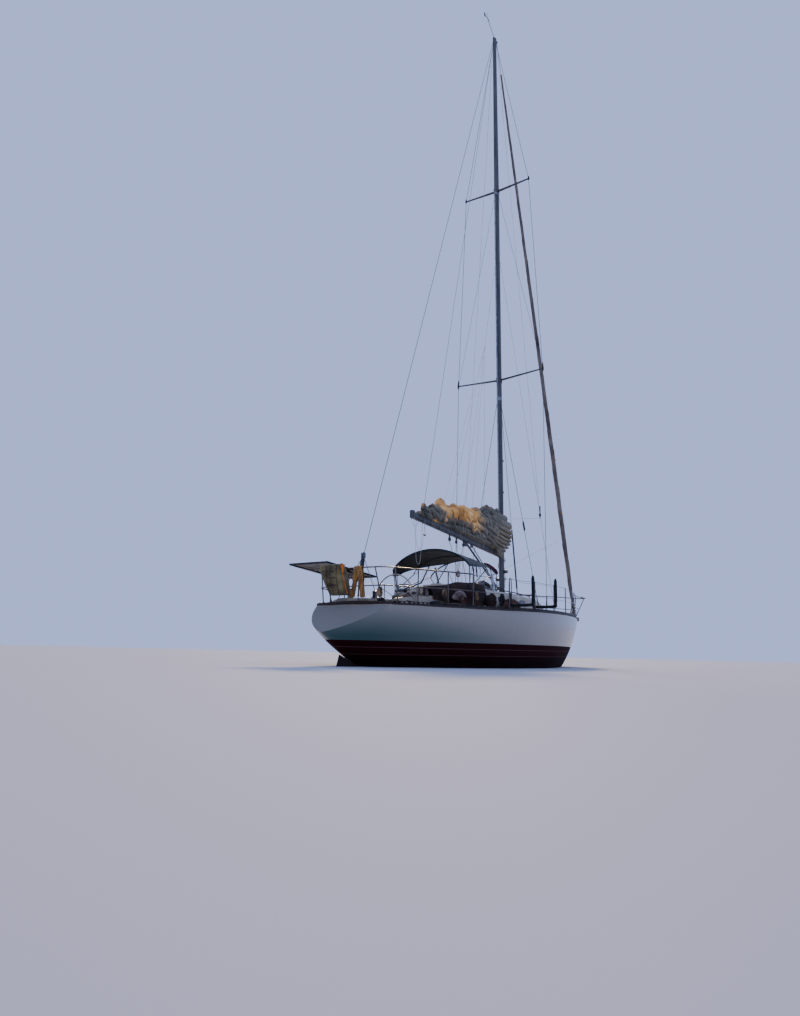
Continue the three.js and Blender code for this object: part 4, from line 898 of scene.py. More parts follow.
def sailRing(x, at, start, end):
    top, half = at(x)
    base = boomAt(x)[2] + boomForm["halfDepth"] - sailForm["lap"]
    middle, tall = (top + base) / 2, (top - base) / 2
    ends = min(1.0, (x - start) / 0.12 + 0.15, (end - x) / 0.10 + 0.15)
    fan = min(1.0, max(0.0, (x + 0.25) / 0.6))  # 1 near the mast, where the flakes lie stacked
    ring = []
    for a in circle(sailForm["aroundSteps"]):
        cy, cz = math.cos(a), math.sin(a)
        y, z = half * curved(cy, 0.80), middle + tall * curved(cz, 0.85)
        over = z - base
        warp = rough(x * 0.8, 3.1, y * 2.0)
        broad = swell(x * 0.9 + 4 * warp * 0.3, y * 1.5 + 2.0, (over + 0.45 * x * fan) * 3.3 + warp)
        lift = min(1.0, max(0.0, (over - 0.22) / 0.25)) * (1 - 0.6 * fan)
        crumple = swell((x + 0.55 * z) * 4.4 + 5.0, y * 2.2 + 9.0, (z - 0.25 * x) * 1.9)
        crumple *= 0.45 + 0.55 * lift
        stack = abs(math.sin(math.pi * (over + 0.30 * (x - 0.2) + 0.10 * warp) / sailForm["flakes"])) * fan
        fine = swell((x + 0.7 * z) * 6.5, y * 5 + 3, (z - 0.3 * x) * 4.5) - 0.15
        push = sailForm["broad"] * broad + sailForm["crumple"] * crumple + sailForm["stack"] * stack * abs(cy)
        push += sailForm["fine"] * fine - sailForm["sink"]
        if cz < -0.75:  # the underside lies flat on the boom
            push *= 0.25
        out = Vector((0, cy * tall, cz * half)).normalized()
        ring.append(Vector((x, y, z)) + out * push * ends + Vector((0.10 * (crumple - 0.1), 0, 0)) * ends)
    return ring


def standingFold(foot, head, length, thick, number):
    rings = []
    for t in stepped(0, 1, 16):
        centre = Vector(foot).lerp(Vector(head), t)
        reach = length / 2 * (1 - t ** 3.4) ** 0.7 + 0.012
        depth = thick * (1 - t ** 3) ** 0.7 * 0.9 + 0.010
        ring = []
        for a in circle(28):
            bend = 0.035 * rough(math.cos(a) * 2, t * 2.5, number * 5.0)
            across = Vector((math.cos(a) * (reach + bend), math.sin(a) * (depth + bend * 0.6),
                             0.02 * rough(a, t * 3, number)))
            ring.append(centre + across)
        rings.append(ring)
    return skin(rings)


def makeSail():
    at = smoothRows(sailForm["rows"])
    start, end = sailForm["rows"][0][0], sailForm["rows"][-1][0]
    body = skin([sailRing(x, at, start, end) for x in stepped(start, end, sailForm["alongSteps"])])
    folds = [standingFold(*fold, number) for number, fold in enumerate(sailForm["standing"])]
    sail = makePiece("flakedMainsail", [([body, *folds], sailcloth)], body="boom",
                     replaced=["furled_mainsail"], angle=70)


def luffLeaf(number, start, end, half, thick):
    rings = []
    for t in stepped(0, 1, 26):
        middle = Vector(start).lerp(Vector(end) - Vector((sailForm["luffSetBack"], 0, 0)), t)
        tip = max(math.sqrt(max(0.0, 1 - max(0.0, (t - 0.80) / 0.20) ** 2.2)), 0.04)
        droop = 0.016 * rough(middle.x * 3, number * 5, 1) - 0.035 * math.sin(math.pi * t)
        ring = []
        for a in circle(24):
            wave = 0.016 * rough(middle.x * 4 + number, a, number * 3.1)
            y = curved(math.cos(a), 1.25) * (thick * (0.65 + 0.35 * t) + wave) * tip
            z = math.sin(a) * (half + wave) * (0.7 + 0.3 * t) * tip
            ring.append(middle + Vector((0, y, z + droop)))
        rings.append(ring)
    return skin(rings)


def makeLuff():
    leaves = [luffLeaf(number, *leaf) for number, leaf in enumerate(sailForm["luff"])]
    luff = makePiece("luffFolds", [(leaves, sailcloth)], body=None, angle=70)
    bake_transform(luff)


makeSail()
makeLuff()
print("mainsail made")


# Rolled headsail: cloth wound up the stay, its edge a long spiral

genoaForm = {
    "foot": (5.890, 0.0, 1.432), "head": (0.932, 0.0, 18.400),
    # height, radius of the roll
    "rows": [(1.950, 0.036), (2.30, 0.056), (3.20, 0.066), (6.00, 0.068), (9.0, 0.058), (12.0, 0.050),
             (15.0, 0.040), (17.52, 0.026)],
    "turn": 5.6,  # radians of spiral for each metre
    "steps": 520,
    # loose corners of cloth: height, side they stand to, size
    "flaps": [(4.65, -2.4, 0.06), (6.25, -2.0, 0.05)],
}


def stayAt(z):
    foot, head = Vector(genoaForm["foot"]), Vector(genoaForm["head"])
    return foot.lerp(head, (z - foot.z) / (head.z - foot.z))


def looseCorner(root, out, size):
    grid = []
    for u in range(7):
        s = u / 6
        row = []
        for v in range(5):
            spread = (v / 4 - 0.5) * size * (1.2 - 0.9 * s)
            row.append(root + out * s * size * 1.3
                       + Vector((0, 0.02 * math.sin(5 * s + v), spread - s * size * 0.5)))
        grid.append(row)
    points, faces = skin(grid, wrapped=False)
    back = [(x + 0.002, y + 0.002, z) for x, y, z in points]
    return points + back, faces + [tuple(i + len(points) for i in reversed(f)) for f in faces]


def makeGenoa():
    at = smoothRows(genoaForm["rows"])
    rings = []
    for z in stepped(genoaForm["rows"][0][0], genoaForm["rows"][-1][0], genoaForm["steps"]):
        radius, centre = at(z)[0], stayAt(z)
        ring = []
        for a in circle(22):
            spiral = ((a - z * genoaForm["turn"]) / (2 * math.pi)) % 1.0
            crease = 0.08 * rough(math.cos(a) * 1.5, math.sin(a) * 1.5, z * 2.2)
            r = radius * (0.90 + 0.16 * (1 - spiral) ** 3 + crease)
            ring.append((centre.x + r * math.cos(a), centre.y + r * math.sin(a), z + 0.25 * r * math.cos(a)))
        rings.append(ring)
    flaps = []
    for z, a, size in genoaForm["flaps"]:
        centre, r = stayAt(z), at(z)[0] * 0.9
        root = Vector((centre.x + r * math.cos(a), centre.y + r * math.sin(a), z))
        flaps.append(looseCorner(root, Vector((math.cos(a), math.sin(a), -0.3)).normalized(), size))
    roll = makePiece("rolledHeadsail", [(skin(rings), sunStrip), (flaps, cotton)],
                     replaced=["furled_genoa"], angle=60)


makeGenoa()
print("headsail made")


# Dodger: a sewn canvas roof on two bows, clear sides and windscreen

dodger = {
    # station, half width, eave height, crown height
    "rows": [(-2.270, 1.060, 2.170, 2.635), (-1.900, 1.050, 2.170, 2.625), (-1.300, 1.000, 2.160, 2.585),
             (-0.850, 0.930, 2.140, 2.530)],
    # where the cloth ends and the clear sides begin, for port and starboard: station, height
    "skirts": {
        1: [(-2.270, 2.06), (-2.05, 2.09), (-1.85, 2.19), (-1.55, 2.30), (-1.20, 2.40), (-0.85, 2.475)],
        -1: [(-2.270, 2.20), (-1.90, 2.23), (-1.50, 2.265), (-1.20, 2.30), (-0.85, 2.33)],
    },
    # station, height of the clear sides' foot
    "feet": [(-2.27, 1.50), (-2.02, 1.505), (-1.99, 1.62), (-1.3, 1.69), (-0.85, 1.72), (-0.6, 1.74)],
    "steps": 44,
    "openRows": 6,  # the clear sides start this many rows forward of the aft edge
    "arch": 1.35,  # power of the arch, over one for slack shoulders
    "sag": 0.012,
    "screenFoot": (-0.660, 0.840, 1.800, 1.868),  # station, half width, height outboard, height on the middle
    "seams": (-1.83, -1.38),
    "cloth": 0.004, "vinyl": 0.0015,
    "cut": (2.30, 1.32),  # across with the skirts, and fore and aft
    "coverRoll": [0.030, 0.044, 0.050, 0.047, 0.051, 0.046, 0.050, 0.046, 0.040, 0.026],
    "windowRoll": [(-1.212, -0.985, 2.235), (-1.185, -1.005, 2.05), (-1.140, -1.010, 1.82),
                   (-1.095, -1.010, 1.62)],
    # bows: station of the top, then station and height of the feet
    "bows": [(-2.25, -2.19, 1.47), (-1.50, -2.19, 1.72)],
    "bowFoot": (-2.19, 1.012),
}
dodgerAt = smoothRows(dodger["rows"])
dodgerFoot = straightRows(dodger["feet"])
dodgerSkirt = {side: straightRows(rows) for side, rows in dodger["skirts"].items()}
quarterTurn = math.pi / 2


# A point of the roof at a station; angle 0 is the crown and a right angle the eave
def roofPoint(x, angle, side, inset=0.0):
    aft, fore = dodger["rows"][0][0], dodger["rows"][-1][0]
    half, eave, crown = dodgerAt(x)
    out, over = math.sin(angle), max(math.cos(angle), 0.0) ** dodger["arch"]
    sag = dodger["sag"] * math.sin(math.pi * (x - aft) / (fore - aft)) * over
    return x, side * (half - inset) * out, eave + (crown - eave - inset) * over - sag


# Height at which the cloth of a side ends, and the roof's angle there
def clothEnd(x, side):
    _, eave, crown = dodgerAt(x)
    line = dodgerSkirt[side](x)[0]
    if line <= eave:
        return line, quarterTurn
    return line, math.acos(((line - eave) / (crown - eave)) ** (1 / dodger["arch"]))


def flatTube(path, radius, flatten=0.5, sides=8):
    return tubeShape(path, radius, sides, flatten=flatten)


# One side: its strip of cloth below the eave, its clear panel, and the bound edges of the panel
def dodgerSide(xs, side):
    cloth, clear = [], []
    for x in xs:
        half, eave, _ = dodgerAt(x)
        line, angle = clothEnd(x, side)
        edge = Vector(roofPoint(x, angle, side) if line > eave else (x, side * half, line))
        foot = Vector((x, side * (half + 0.012), dodgerFoot(x)[0] + 0.01))
        if line <= eave:
            cloth.append([Vector((x, side * half, eave)).lerp(edge, t) for t in stepped(0, 1, 4)])
        clear.append([edge.lerp(foot, t) + Vector((0, side * -0.004, 0)) for t in stepped(0, 1, 8)])
    opened = clear[dodger["openRows"]:]
    edges = [([row[0] for row in clear], 0.011), (clear[-1], 0.020), (opened[0], 0.014),
             ([row[-1] for row in opened], 0.014)]
    cloths = [skin(cloth, wrapped=False)] if len(cloth) > 1 else []
    return cloths, skin(opened, wrapped=False), [flatTube(path, radius) for path, radius in edges]


def screenGrid(fore):
    footX, footHalf, footSide, footMiddle = dodger["screenFoot"]
    screen = []
    for t in stepped(0, 1, 10):
        bow = Vector((0.02 * math.sin(math.pi * t), 0, 0))
        row = []
        for s in stepped(-1, 1, 32):
            upper = Vector(roofPoint(fore, quarterTurn * abs(s), -1 if s < 0 else 1))
            lower = Vector((footX, s * footHalf, footMiddle + (footSide - footMiddle) * s * s))
            row.append(upper.lerp(lower, t) + bow)
        screen.append(row)
    return screen


def makeDodger():
    aft, fore = dodger["rows"][0][0], dodger["rows"][-1][0]
    xs = stepped(aft, fore, dodger["steps"])
    roof = [[roofPoint(x, clothEnd(x, 1)[1] * (1 - j / 16), 1) for j in range(17)]
            + [roofPoint(x, clothEnd(x, -1)[1] * j / 16, -1) for j in range(1, 17)] for x in xs]
    cloths, clears, trims = [skin(roof, wrapped=False)], [], []
    for side, _ in bothSides:
        sideCloths, clear, edges = dodgerSide(xs, side)
        cloths += sideCloths
        clears.append(clear)
        trims += edges
    screen = screenGrid(fore)
    clears.append(skin(screen, wrapped=False))
    trims += [flatTube([row[j] for row in screen], 0.022 if j in (0, 32) else 0.013, 0.4)
              for j in (0, 10, 16, 22, 32)]
    trims += [flatTube(screen[-1], 0.024), flatTube(screen[0], 0.018, 0.6), flatTube(roof[0], 0.014, 1.0)]
    for x in dodger["seams"]:
        seam = [roofPoint(x, quarterTurn * abs(s), -1 if s > 0 else 1) for s in stepped(-1, 1, 32)]
        trims.append(flatTube(seam, 0.007, 0.6, 6))
    roll = [Vector(roofPoint(fore, quarterTurn * (0.42 + 0.50 * k / 9), -1)) + Vector((0.055, 0, 0.005))
            for k in range(10)]
    cloth = makePiece(
        "dodgerCanvas", [(thicken(joined(*cloths), dodger["cloth"]), canvas)],
        replaced=["dodger_canopy"], angle=55)
    makePiece(
        "dodgerTrim",
        [(trims, canvas), (tubeShape(roll, dodger["coverRoll"], 12), maroon),
         (tubeShape(dodger["windowRoll"], [0.014, 0.030, 0.036, 0.018], 10), rolledVinyl)],
        angle=55)
    windows = thicken(joined(*clears), dodger["vinyl"])
    makePiece("dodgerWindows", [(windows, vinyl)], angle=60)


def makeDodgerBows():
    sleeved, fittings = [], []
    footX, footY = dodger["bowFoot"]
    for station, x, z in dodger["bows"]:
        half = [(x, footY, z)] + [roofPoint(station, quarterTurn * (1 - j / 12), 1, 0.030) for j in range(13)]
        other = [(px, -py, pz) for px, py, pz in reversed(half[:-1])]
        sleeved.append(bent(half + other, 0.011, 12, 3))
    for side, _ in bothSides:
        y = side * footY
        foot = [(0, 0.0), (0, 0.028), (0.006, 0.028), (0.02, 0.018), (0.05, 0.018), (0.05, 0.0)]
        fittings.append(turned(foot, (footX, y, 1.462)))
        fittings.append(boxShape((-2.225, y - 0.010, 1.69), (-2.175, y + 0.010, 1.74), 0.005))
        fittings.append(rod((-2.215, side * 1.01, 1.72), (-0.88, side * 0.90, 2.16), 0.010, 10))
    makePiece("dodgerBows", [(fittings, stainless), (sleeved, canvas)],
              replaced=["dodger_frame"])


makeDodger()
makeDodgerBows()
print("dodger made")


# Rails at the deck's edge: stainless tube with base sockets, tees and covered wire

railForm = {
    "inset": 0.070,  # from the hull's edge to the posts
    "sternTop": [(-5.170, 0.002, 1.900), (-5.165, 0.620, 1.900), (-5.060, 0.860, 1.902),
                 (-4.760, 0.985, 1.904)],
    "sternAlong": [(-4.383, 1.908), (-3.650, 1.920), (-2.950, 1.930)],
    "sternDrop": 0.350,  # from the top tube to the lower one
    "sternPosts": [((-4.885, 0.645), (-5.150, 0.645)), ((-4.800, 0.950), (-4.900, 0.942))],
    "tube": 0.014, "lowTube": 0.011, "post": 0.0125,
    "ends": (-2.932, 3.682),  # where the wires end, aft and forward
    "postStations": [-1.700, -0.560, 0.600, 1.700, 2.700],
    "postHeight": 0.680,
    "wireDrops": (0.012, 0.340),
    "wireRadius": 0.0045, "wireSag": 0.010, "fork": 0.15,
    "pulpitHalf": [(4.500, 0.610, 2.075), (5.300, 0.330, 2.095), (6.000, 0.215, 2.112),
                   (6.420, 0.150, 2.122)],
    "pulpitNose": (6.520, 0.0, 2.125),
    "pulpitFoot": 3.700,
    "pulpitLow": [(4.30, 0.66, 1.730), (4.822, 0.470, 1.735), (5.40, 0.30, 1.738), (5.930, 0.134, 1.740)],
    "lamp": [(0, 0), (0, 0.030), (0.045, 0.034), (0.050, 0.020), (0.055, 0)],
    "flange": [(0, 0), (0, 0.038), (0.008, 0.036), (0.011, 0.024), (0.060, 0.019), (0.064, 0.013),
               (0.064, 0)],
    "screw": [(0, 0), (0, 0.006), (0.003, 0.005), (0.004, 0)],
}


def railY(x):
    return hullStraight(x)[0] - railForm["inset"]


def deckTop(x, y):
    beam, sheer = hullStraight(x)[:2]
    share = abs(y) / beam
    lift = 1 - 0.6 * share if share < 0.6 else 0.64 * (1 - share) / 0.4
    return sheer + hullForm["deckThickness"] + 0.038 * beam * max(lift, 0.0)


# A post's foot: a round flange with three screw heads, and a socket
def postFoot(x, y, tilt=(0, 0, 1)):
    z = deckTop(x, y) - 0.006
    heads = [turned(railForm["screw"], (x + 0.029 * math.cos(a), y + 0.029 * math.sin(a), z + 0.008), sides=8)
             for a in (0.4, 2.5, 4.6)]
    return joined(turned(railForm["flange"], (x, y, z), tilt, 20), *heads)


def collar(point, along, radius=0.018, half=0.022):
    axis = Vector(along).normalized()
    end, small = 2 * half, radius * 0.8
    rows = [(0, 0), (0, small), (0.004, radius), (end - 0.004, radius), (end, small), (end, 0)]
    return turned(rows, Vector(point) - axis * half, axis, 16)


# A post between a point of the deck and a head, with its foot
def postShapes(x, y, headX, headY, headZ, short=0.0):
    z = deckTop(x, y)
    return [rod((x, y, z - 0.01), (headX, headY, headZ - short), railForm["post"], 14),
            postFoot(x, y, (headX - x, headY - y, headZ - z))]


# The same parts on both sides, mirrored to starboard
def makeRailPair(name, parts, node):
    for side, sideName in bothSides:
        sided = [(joined(*shapes), finish) for shapes, finish in parts]
        if side < 0:
            sided = [(mirrored(shape), finish) for shape, finish in sided]
        makePiece(name + sideName, sided, replaced=[node + sideName])


def makeSternRails():
    top = railForm["sternTop"] + [(x, railY(x), z) for x, z in railForm["sternAlong"]]
    drop = railForm["sternDrop"]
    low = [(x + (0.070 if x < -5.0 else 0.0), y, z - drop) for x, y, z in top]
    (endX, endY, endZ), (lowX, lowY, lowZ) = top[-1], low[-1]
    end = [top[-1], (endX + 0.018, endY, endZ - 0.03), (endX + 0.020, endY, endZ - 0.30),
           (lowX + 0.012, lowY, lowZ)]
    shapes = [bent(top, railForm["tube"], 14, 5), bent(low, railForm["lowTube"], 12, 5),
              bent(end, railForm["lowTube"], 10, 3)]
    posts = railForm["sternPosts"] + [((x, railY(x)), (x, railY(x))) for x, _ in railForm["sternAlong"]]
    for (x, y), (headX, headY) in posts:
        z, headZ = deckTop(x, y), 1.902 if headX < -4.85 else 1.910
        shapes += postShapes(x, y, headX, headY, headZ, 0.005)
        tee = Vector((x, y, z)).lerp(Vector((headX, headY, headZ)), (headZ - drop - z) / (headZ - z))
        shapes.append(collar(tee, (headX - x, headY - y, headZ - z)))
    makeRailPair("sternPushpit_", [(shapes, stainless)], "stern_rail_")


def makeGuardRails():
    stops = [railForm["ends"][0], *railForm["postStations"], railForm["ends"][1]]
    tall = railForm["postHeight"]
    posts, wires = [], []
    for x in railForm["postStations"]:
        y, head = railY(x), deckEdge(x) + tall
        posts.append(tubeShape([(x, y, deckTop(x, y)), (x, y, head - 0.03), (x, y, head)],
                               [0.0127, 0.0120, 0.0100], 14))
        posts.append(postFoot(x, y))
        posts += [collar((x, y, head - drop), (1, 0, 0), 0.009, 0.016) for drop in railForm["wireDrops"]]
    for drop in railForm["wireDrops"]:
        for a, b in zip(stops, stops[1:]):
            start, end = [Vector((x, railY(x), deckEdge(x) + tall - drop)) for x in (a, b)]
            wires.append(tubeShape(
                [start.lerp(end, t) - Vector((0, 0, railForm["wireSag"] * 4 * t * (1 - t)))
                 for t in stepped(0, 1, 8)], railForm["wireRadius"], 8))
        for x, away in zip(railForm["ends"], (1, -1)):
            z, other = deckEdge(x) + tall - drop, x + away * railForm["fork"]
            wires.append(tubeShape([(x, railY(x), z), (other, railY(other), z)], 0.008, 8))
    makeRailPair("lifelines_", [(posts, stainless), (wires, wire)], "guard_rail_")


def makePulpit():
    foot = railForm["pulpitFoot"]
    half = [(foot, railY(foot), deckEdge(foot) + 0.690), *railForm["pulpitHalf"]]
    hoop = half + [railForm["pulpitNose"]] + [(x, -y, z) for x, y, z in reversed(half)]
    shapes = [bent(hoop, railForm["tube"], 14, 5)]
    legs = [(foot, railY(foot), foot, railY(foot), 2.028), (4.750, 0.470, 4.900, 0.468, 2.083),
            (5.640, 0.095, 6.260, 0.176, 2.118)]
    low = [(foot, railY(foot), 1.725), *railForm["pulpitLow"]]
    for side, _ in bothSides:
        for x, y, headX, headY, headZ in legs:
            shapes += postShapes(x, side * y, headX, side * headY, headZ)
        path = [(x, side * y, z) for x, y, z in low]
        shapes.append(bent(path, 0.010, 12, 4))
        shapes += [collar(path[0], (0, 0, 1)), collar(path[2], (0.15, 0, 0.6))]
    lamp = turned(railForm["lamp"], (6.500, 0, 2.135), sides=20)
    makePiece("bowPulpit", [(shapes, stainless), (lamp, nylon)], replaced=["bow_pulpit"])


makeSternRails()
makeGuardRails()
makePulpit()
print("rails made")


# Board racks: bent tube in sewn foam sleeves, open at the top of the outboard arm

rackForm = {
    "stations": {"aft": -1.600, "fore": -0.440},
    # distance off the centreline, height over the deck's edge
    "route": [(-1.690, 0.370), (-1.690, 0.160), (-1.740, 0.100), (-2.185, 0.100), (-2.240, 0.160),
              (-2.240, 0.730)],
    "radius": 0.036,
    "seams": 0.16,  # a strap round the sleeve at each such step
    "straps": [(-1.95, 0.100, (0, 1, 0)), (-2.240, 0.45, (0, 0, 1))],
}


def makeRacks():
    inner = rackForm["route"][0][0]
    for name, x in rackForm["stations"].items():
        z = deckEdge(x)
        path = smoothPath([(x, y, z + up) for y, up in rackForm["route"]], 9)
        sizes, travelled = [], 0.0
        for i, point in enumerate(path):
            travelled += (point - path[i - 1]).length if i else 0.0
            near = (travelled / rackForm["seams"]) % 1.0
            pinch = 1 - 0.12 * math.exp(-((near - 0.5) / 0.07) ** 2)
            sizes.append(rackForm["radius"] * pinch * (1 + 0.05 * noise.noise(point * 9)))
        sizes[0] *= 0.55
        sizes[-1] *= 0.55
        foot = [rod((x, inner, z - 0.015), (x, inner, z + 0.25), 0.016, 14),
                boxShape((x - 0.050, inner - 0.048, z - 0.004), (x + 0.050, inner + 0.048, z + 0.010), 0.004),
                collar((x, inner, z + 0.04), (0, 0, 1), 0.024, 0.03)]
        straps = [collar((x, y, z + up), along, 0.034, 0.014) for y, up, along in rackForm["straps"]]
        pad = makePiece(
            "rackSleeve_" + name, [(tubeShape(path, sizes, 18), sleeve), (foot, stainless), (straps, nylon)],
            replaced=["board_rack_" + name], angle=50)


makeRacks()


# Solar panel: a framed laminate on cross bars clamped to the stern rail, seen mostly from below

panelForm = {
    "aft": -4.735, "fore": -3.035, "inner": 0.950, "outer": 2.050, "aftZ": 2.105, "foreZ": 1.950,
    "depth": 0.038, "rim": 0.030, "bar": 0.0145,
    "leadEnd": (-4.383, 1.150, 1.90),
    # station, then off the centreline and height of the stern rail there
    "supports": [(-4.250, 1.178, 1.910), (-3.500, 1.404, 1.922)],
}


# Shares of the panel's length and width, and the height over its lower face
def panelPoint(u, v, up=0.0):
    form = panelForm
    x = form["aft"] + (form["fore"] - form["aft"]) * u
    y = form["inner"] + (form["outer"] - form["inner"]) * v
    return x, y, form["aftZ"] + (form["foreZ"] - form["aftZ"]) * u + up


def panelSlab(u0, u1, v0, v1, low, high):
    return skin([[panelPoint(u, v, up) for u, v in oblong(u0, u1, v0, v1)] for up in (low, high)])


# A point just inside the panel's lower face
def underPanel(x, y):
    return x, y, panelPoint((x - panelForm["aft"]) / (panelForm["fore"] - panelForm["aft"]), 0)[2] - 0.010


def makePanel():
    depth, bar = panelForm["depth"], panelForm["bar"]
    du = panelForm["rim"] / (panelForm["fore"] - panelForm["aft"])
    dv = panelForm["rim"] / (panelForm["outer"] - panelForm["inner"])
    bars = [panelSlab(0, 1, 0, dv, 0, depth), panelSlab(0, 1, 1 - dv, 1, 0, depth),
            panelSlab(0, du, dv, 1 - dv, 0, depth), panelSlab(1 - du, 1, dv, 1 - dv, 0, depth),
            panelSlab(0.485, 0.515, dv, 1 - dv, 0.002, depth - 0.012)]
    glass = panelSlab(du, 1 - du, dv, 1 - dv, depth - 0.006, depth - 0.001)
    sheet = panelSlab(du, 1 - du, dv, 1 - dv, depth - 0.014, depth - 0.008)
    works = []
    for u in (0.25, 0.75):
        x, y, z = panelPoint(u, 0.2, depth - 0.016)
        works.append(boxShape((x - 0.06, y - 0.05, z - 0.018), (x + 0.06, y + 0.05, z), 0.006))
    for lead in ([(0.25, 0.2, 0.012), (0.24, 0.14, -0.03)],
                 [(0.75, 0.2, 0.012), (0.55, 0.12, -0.03), (0.34, 0.11, -0.04)]):
        works.append(bent([*(panelPoint(*point) for point in lead), panelForm["leadEnd"]], 0.004, 8))
    tubes = [rod(underPanel(-4.535, y), underPanel(-3.135, y), bar, 14) for y in (1.10, 1.90)]
    for x, y, z in panelForm["supports"]:
        top = underPanel(x, y)[2]
        tubes.append(rod(underPanel(x, 1.0), underPanel(x, 1.95), bar, 14))
        tubes.append(boxShape((x - 0.014, y - 0.026, z - 0.028), (x + 0.014, y + 0.026, top), 0.006))
    x, y, z = panelForm["supports"][-1]
    tubes.append(rod((x, y, z - railForm["sternDrop"]), underPanel(x, 1.850), 0.0105, 12))
    makePiece("solarPanelFramed",
              [(bars, blackAlloy), (glass, cells), (sheet, backSheet), (works, nylon), (tubes, stainless)],
              replaced=["solar_panel"])


makePanel()
print("rail gear made")


# Canvas bag lashed to the stern rail: a sagging box with rounded seams, webbing and a bright cord edge

bagForm = {
    # height, aft face, fore face, port side, starboard side
    "rows": [(1.370, -5.240, -5.112, 0.430, -0.050), (1.480, -5.290, -5.105, 0.470, -0.048),
             (1.800, -5.350, -5.150, 0.600, 0.010), (1.980, -5.340, -5.165, 0.650, 0.070)],
    "steps": 40,
    "fold": 0.012, "belly": 0.010,
    "straps": [(0.18, 0.16), (0.44, 0.40)],  # off the centreline at the head and the foot
    "ties": [(1.835, 0.12, 0.62), (1.700, 0.30, 0.70), (1.560, 0.22, 0.60)],  # height, shares of the width
}
bagAt = smoothRows(bagForm["rows"])


def bagRing(t, z):
    back, front, port, starboard = bagAt(z)
    close = min(1.0, math.sqrt(max(t, 0.0) / 0.05 + 0.02), math.sqrt((1 - t) / 0.05 + 0.02))
    middle = Vector(((back + front) / 2, (port + starboard) / 2, z))
    hx, hy = (front - back) / 2, (port - starboard) / 2
    ring = []
    for a in circle(64):
        c, s = math.cos(a), math.sin(a)
        x = hx * curved(c, 0.35) * (0.72 + 0.28 * close)
        y = hy * curved(s, 0.30) * (0.90 + 0.10 * close)
        p = middle + Vector((x, y, 0))
        fold = ridge(p.x * 5, p.y * 6, p.z * 3.2 + p.y * 3) - 0.5
        belly = bagForm["belly"] * (math.sin(math.pi * t) * c ** 2 - 1)
        ring.append(p + Vector((c, s, 0)) * (bagForm["fold"] * fold + belly))
    return ring


def makeBag():
    low, high = bagForm["rows"][0][0], bagForm["rows"][-1][0]
    body = [skin([bagRing(t, low + (high - low) * t) for t in stepped(0, 1, bagForm["steps"])])]
    for head, foot in bagForm["straps"]:
        strap = [(bagAt(z)[0] - 0.004, foot + (head - foot) * k / 14, z)
                 for k, z in enumerate(stepped(1.40, 1.96, 14))]
        body.append(flatTube(strap, 0.014, 0.35))
    ties = []
    for z, start, end in bagForm["ties"]:
        back, _, port, starboard = bagAt(z)
        run = [port + (starboard - port) * s for s in (start, (start + end) / 2, end)]
        ties.append(bent([(back - 0.006, y, z + 0.008 * (k == 1)) for k, y in enumerate(run)], 0.0055, 8))
    edge = [(bagAt(z)[0] + 0.004, bagAt(z)[3] - 0.004, z + 0.004 * math.sin(k * 1.7))
            for k, z in enumerate(stepped(1.39, 1.97, 18))]
    # The bright lining shows where the flap's starboard corner is turned back
    patch = []
    for u, z in enumerate(stepped(1.800, 1.980, 10)):
        back, front, _, starboard = bagAt(z)
        reach = (front - back) * 0.94 * (0.10 + 0.80 * (u / 10) ** 1.5)
        patch.append([(back - 0.012 + reach * v / 6, starboard - 0.010 + 0.012 * math.sin(1.3 * v + u),
                       z + 0.010 * math.sin(v)) for v in range(7)])
    lining = [tubeShape(edge, 0.006, 10), thicken(skin(patch, wrapped=False), 0.005)]
    bag = makePiece("canvasHoldall", [(body, olive), (ties, blackRope), (lining, orange)],
                    replaced=["canvas_bag"], angle=60)


makeBag()


# Two cloths hung in folds over the top rail, each a single width doubled over the tube

drapeForm = {
    # height, how far each fall stands off the tube, half width
    "rows": [(1.935, 0.012, 0.048), (1.850, 0.026, 0.044), (1.640, 0.032, 0.062), (1.312, 0.036, 0.098)],
    "middles": {"a": (-0.225, -0.110), "b": (-0.300, -0.375)},  # at the rail, at the foot
    "rail": -5.172, "railTop": 1.925, "lift": 0.012,
    "feet": (1.312, 1.330),  # of the outer and the inner fall
    "pleats": 5,
    "depth": 0.012,
    "cloth": 0.0025,
    "cut": (0.20, 1.24),  # width and length of each cloth before it was hung
}


def drapeRow(z, face, stand, half, number, middle):
    head, base = middle
    overRail = abs(face) < 0.9
    row = []
    for s in stepped(-1, 1, 40):
        pleat = math.sin(drapeForm["pleats"] * math.pi * s + number * 1.3 + 1.5 * (1.9 - z))
        crumple = 0.006 * rough(s * 3, z * 4, number * 7 + face)
        x = drapeForm["rail"] - face * (0.018 if overRail else stand * 0.75)
        if not overRail:
            x += drapeForm["depth"] * pleat * (0.35 + 0.65 * (1.93 - z) / 0.6)
        y = head + (base - head) * (1.93 - z) / 0.62 + s * half + 0.010 * math.sin(3 * z + number) + crumple
        hem = 0.014 * rough(s * 2, 1, number) * (z < 1.4)
        row.append((x + crumple, y, z + drapeForm["lift"] * overRail + hem))
    return row


def makeDrapes():
    at = smoothRows(drapeForm["rows"])
    top, (outer, inner) = drapeForm["railTop"], drapeForm["feet"]
    # Up the outer fall, over the tube, and down the inner one
    falls = [(z, 1) for z in stepped(outer, top, 30)] + [(top, 0.5 - 0.5 * k) for k in range(5)]
    falls += [(z, -1) for z in stepped(top, inner, 30)[1:]]
    for number, (name, middle) in enumerate(drapeForm["middles"].items()):
        rows = [drapeRow(z, face, *at(z), number, middle) for z, face in falls]
        drape = makePiece(
            "hungCloth_" + name, [(thicken(skin(rows, wrapped=False), drapeForm["cloth"]), cotton)],
            replaced=["lashed_cloth"] if number == 0 else [], angle=70)


makeDrapes()
print("soft gear on the rail made")


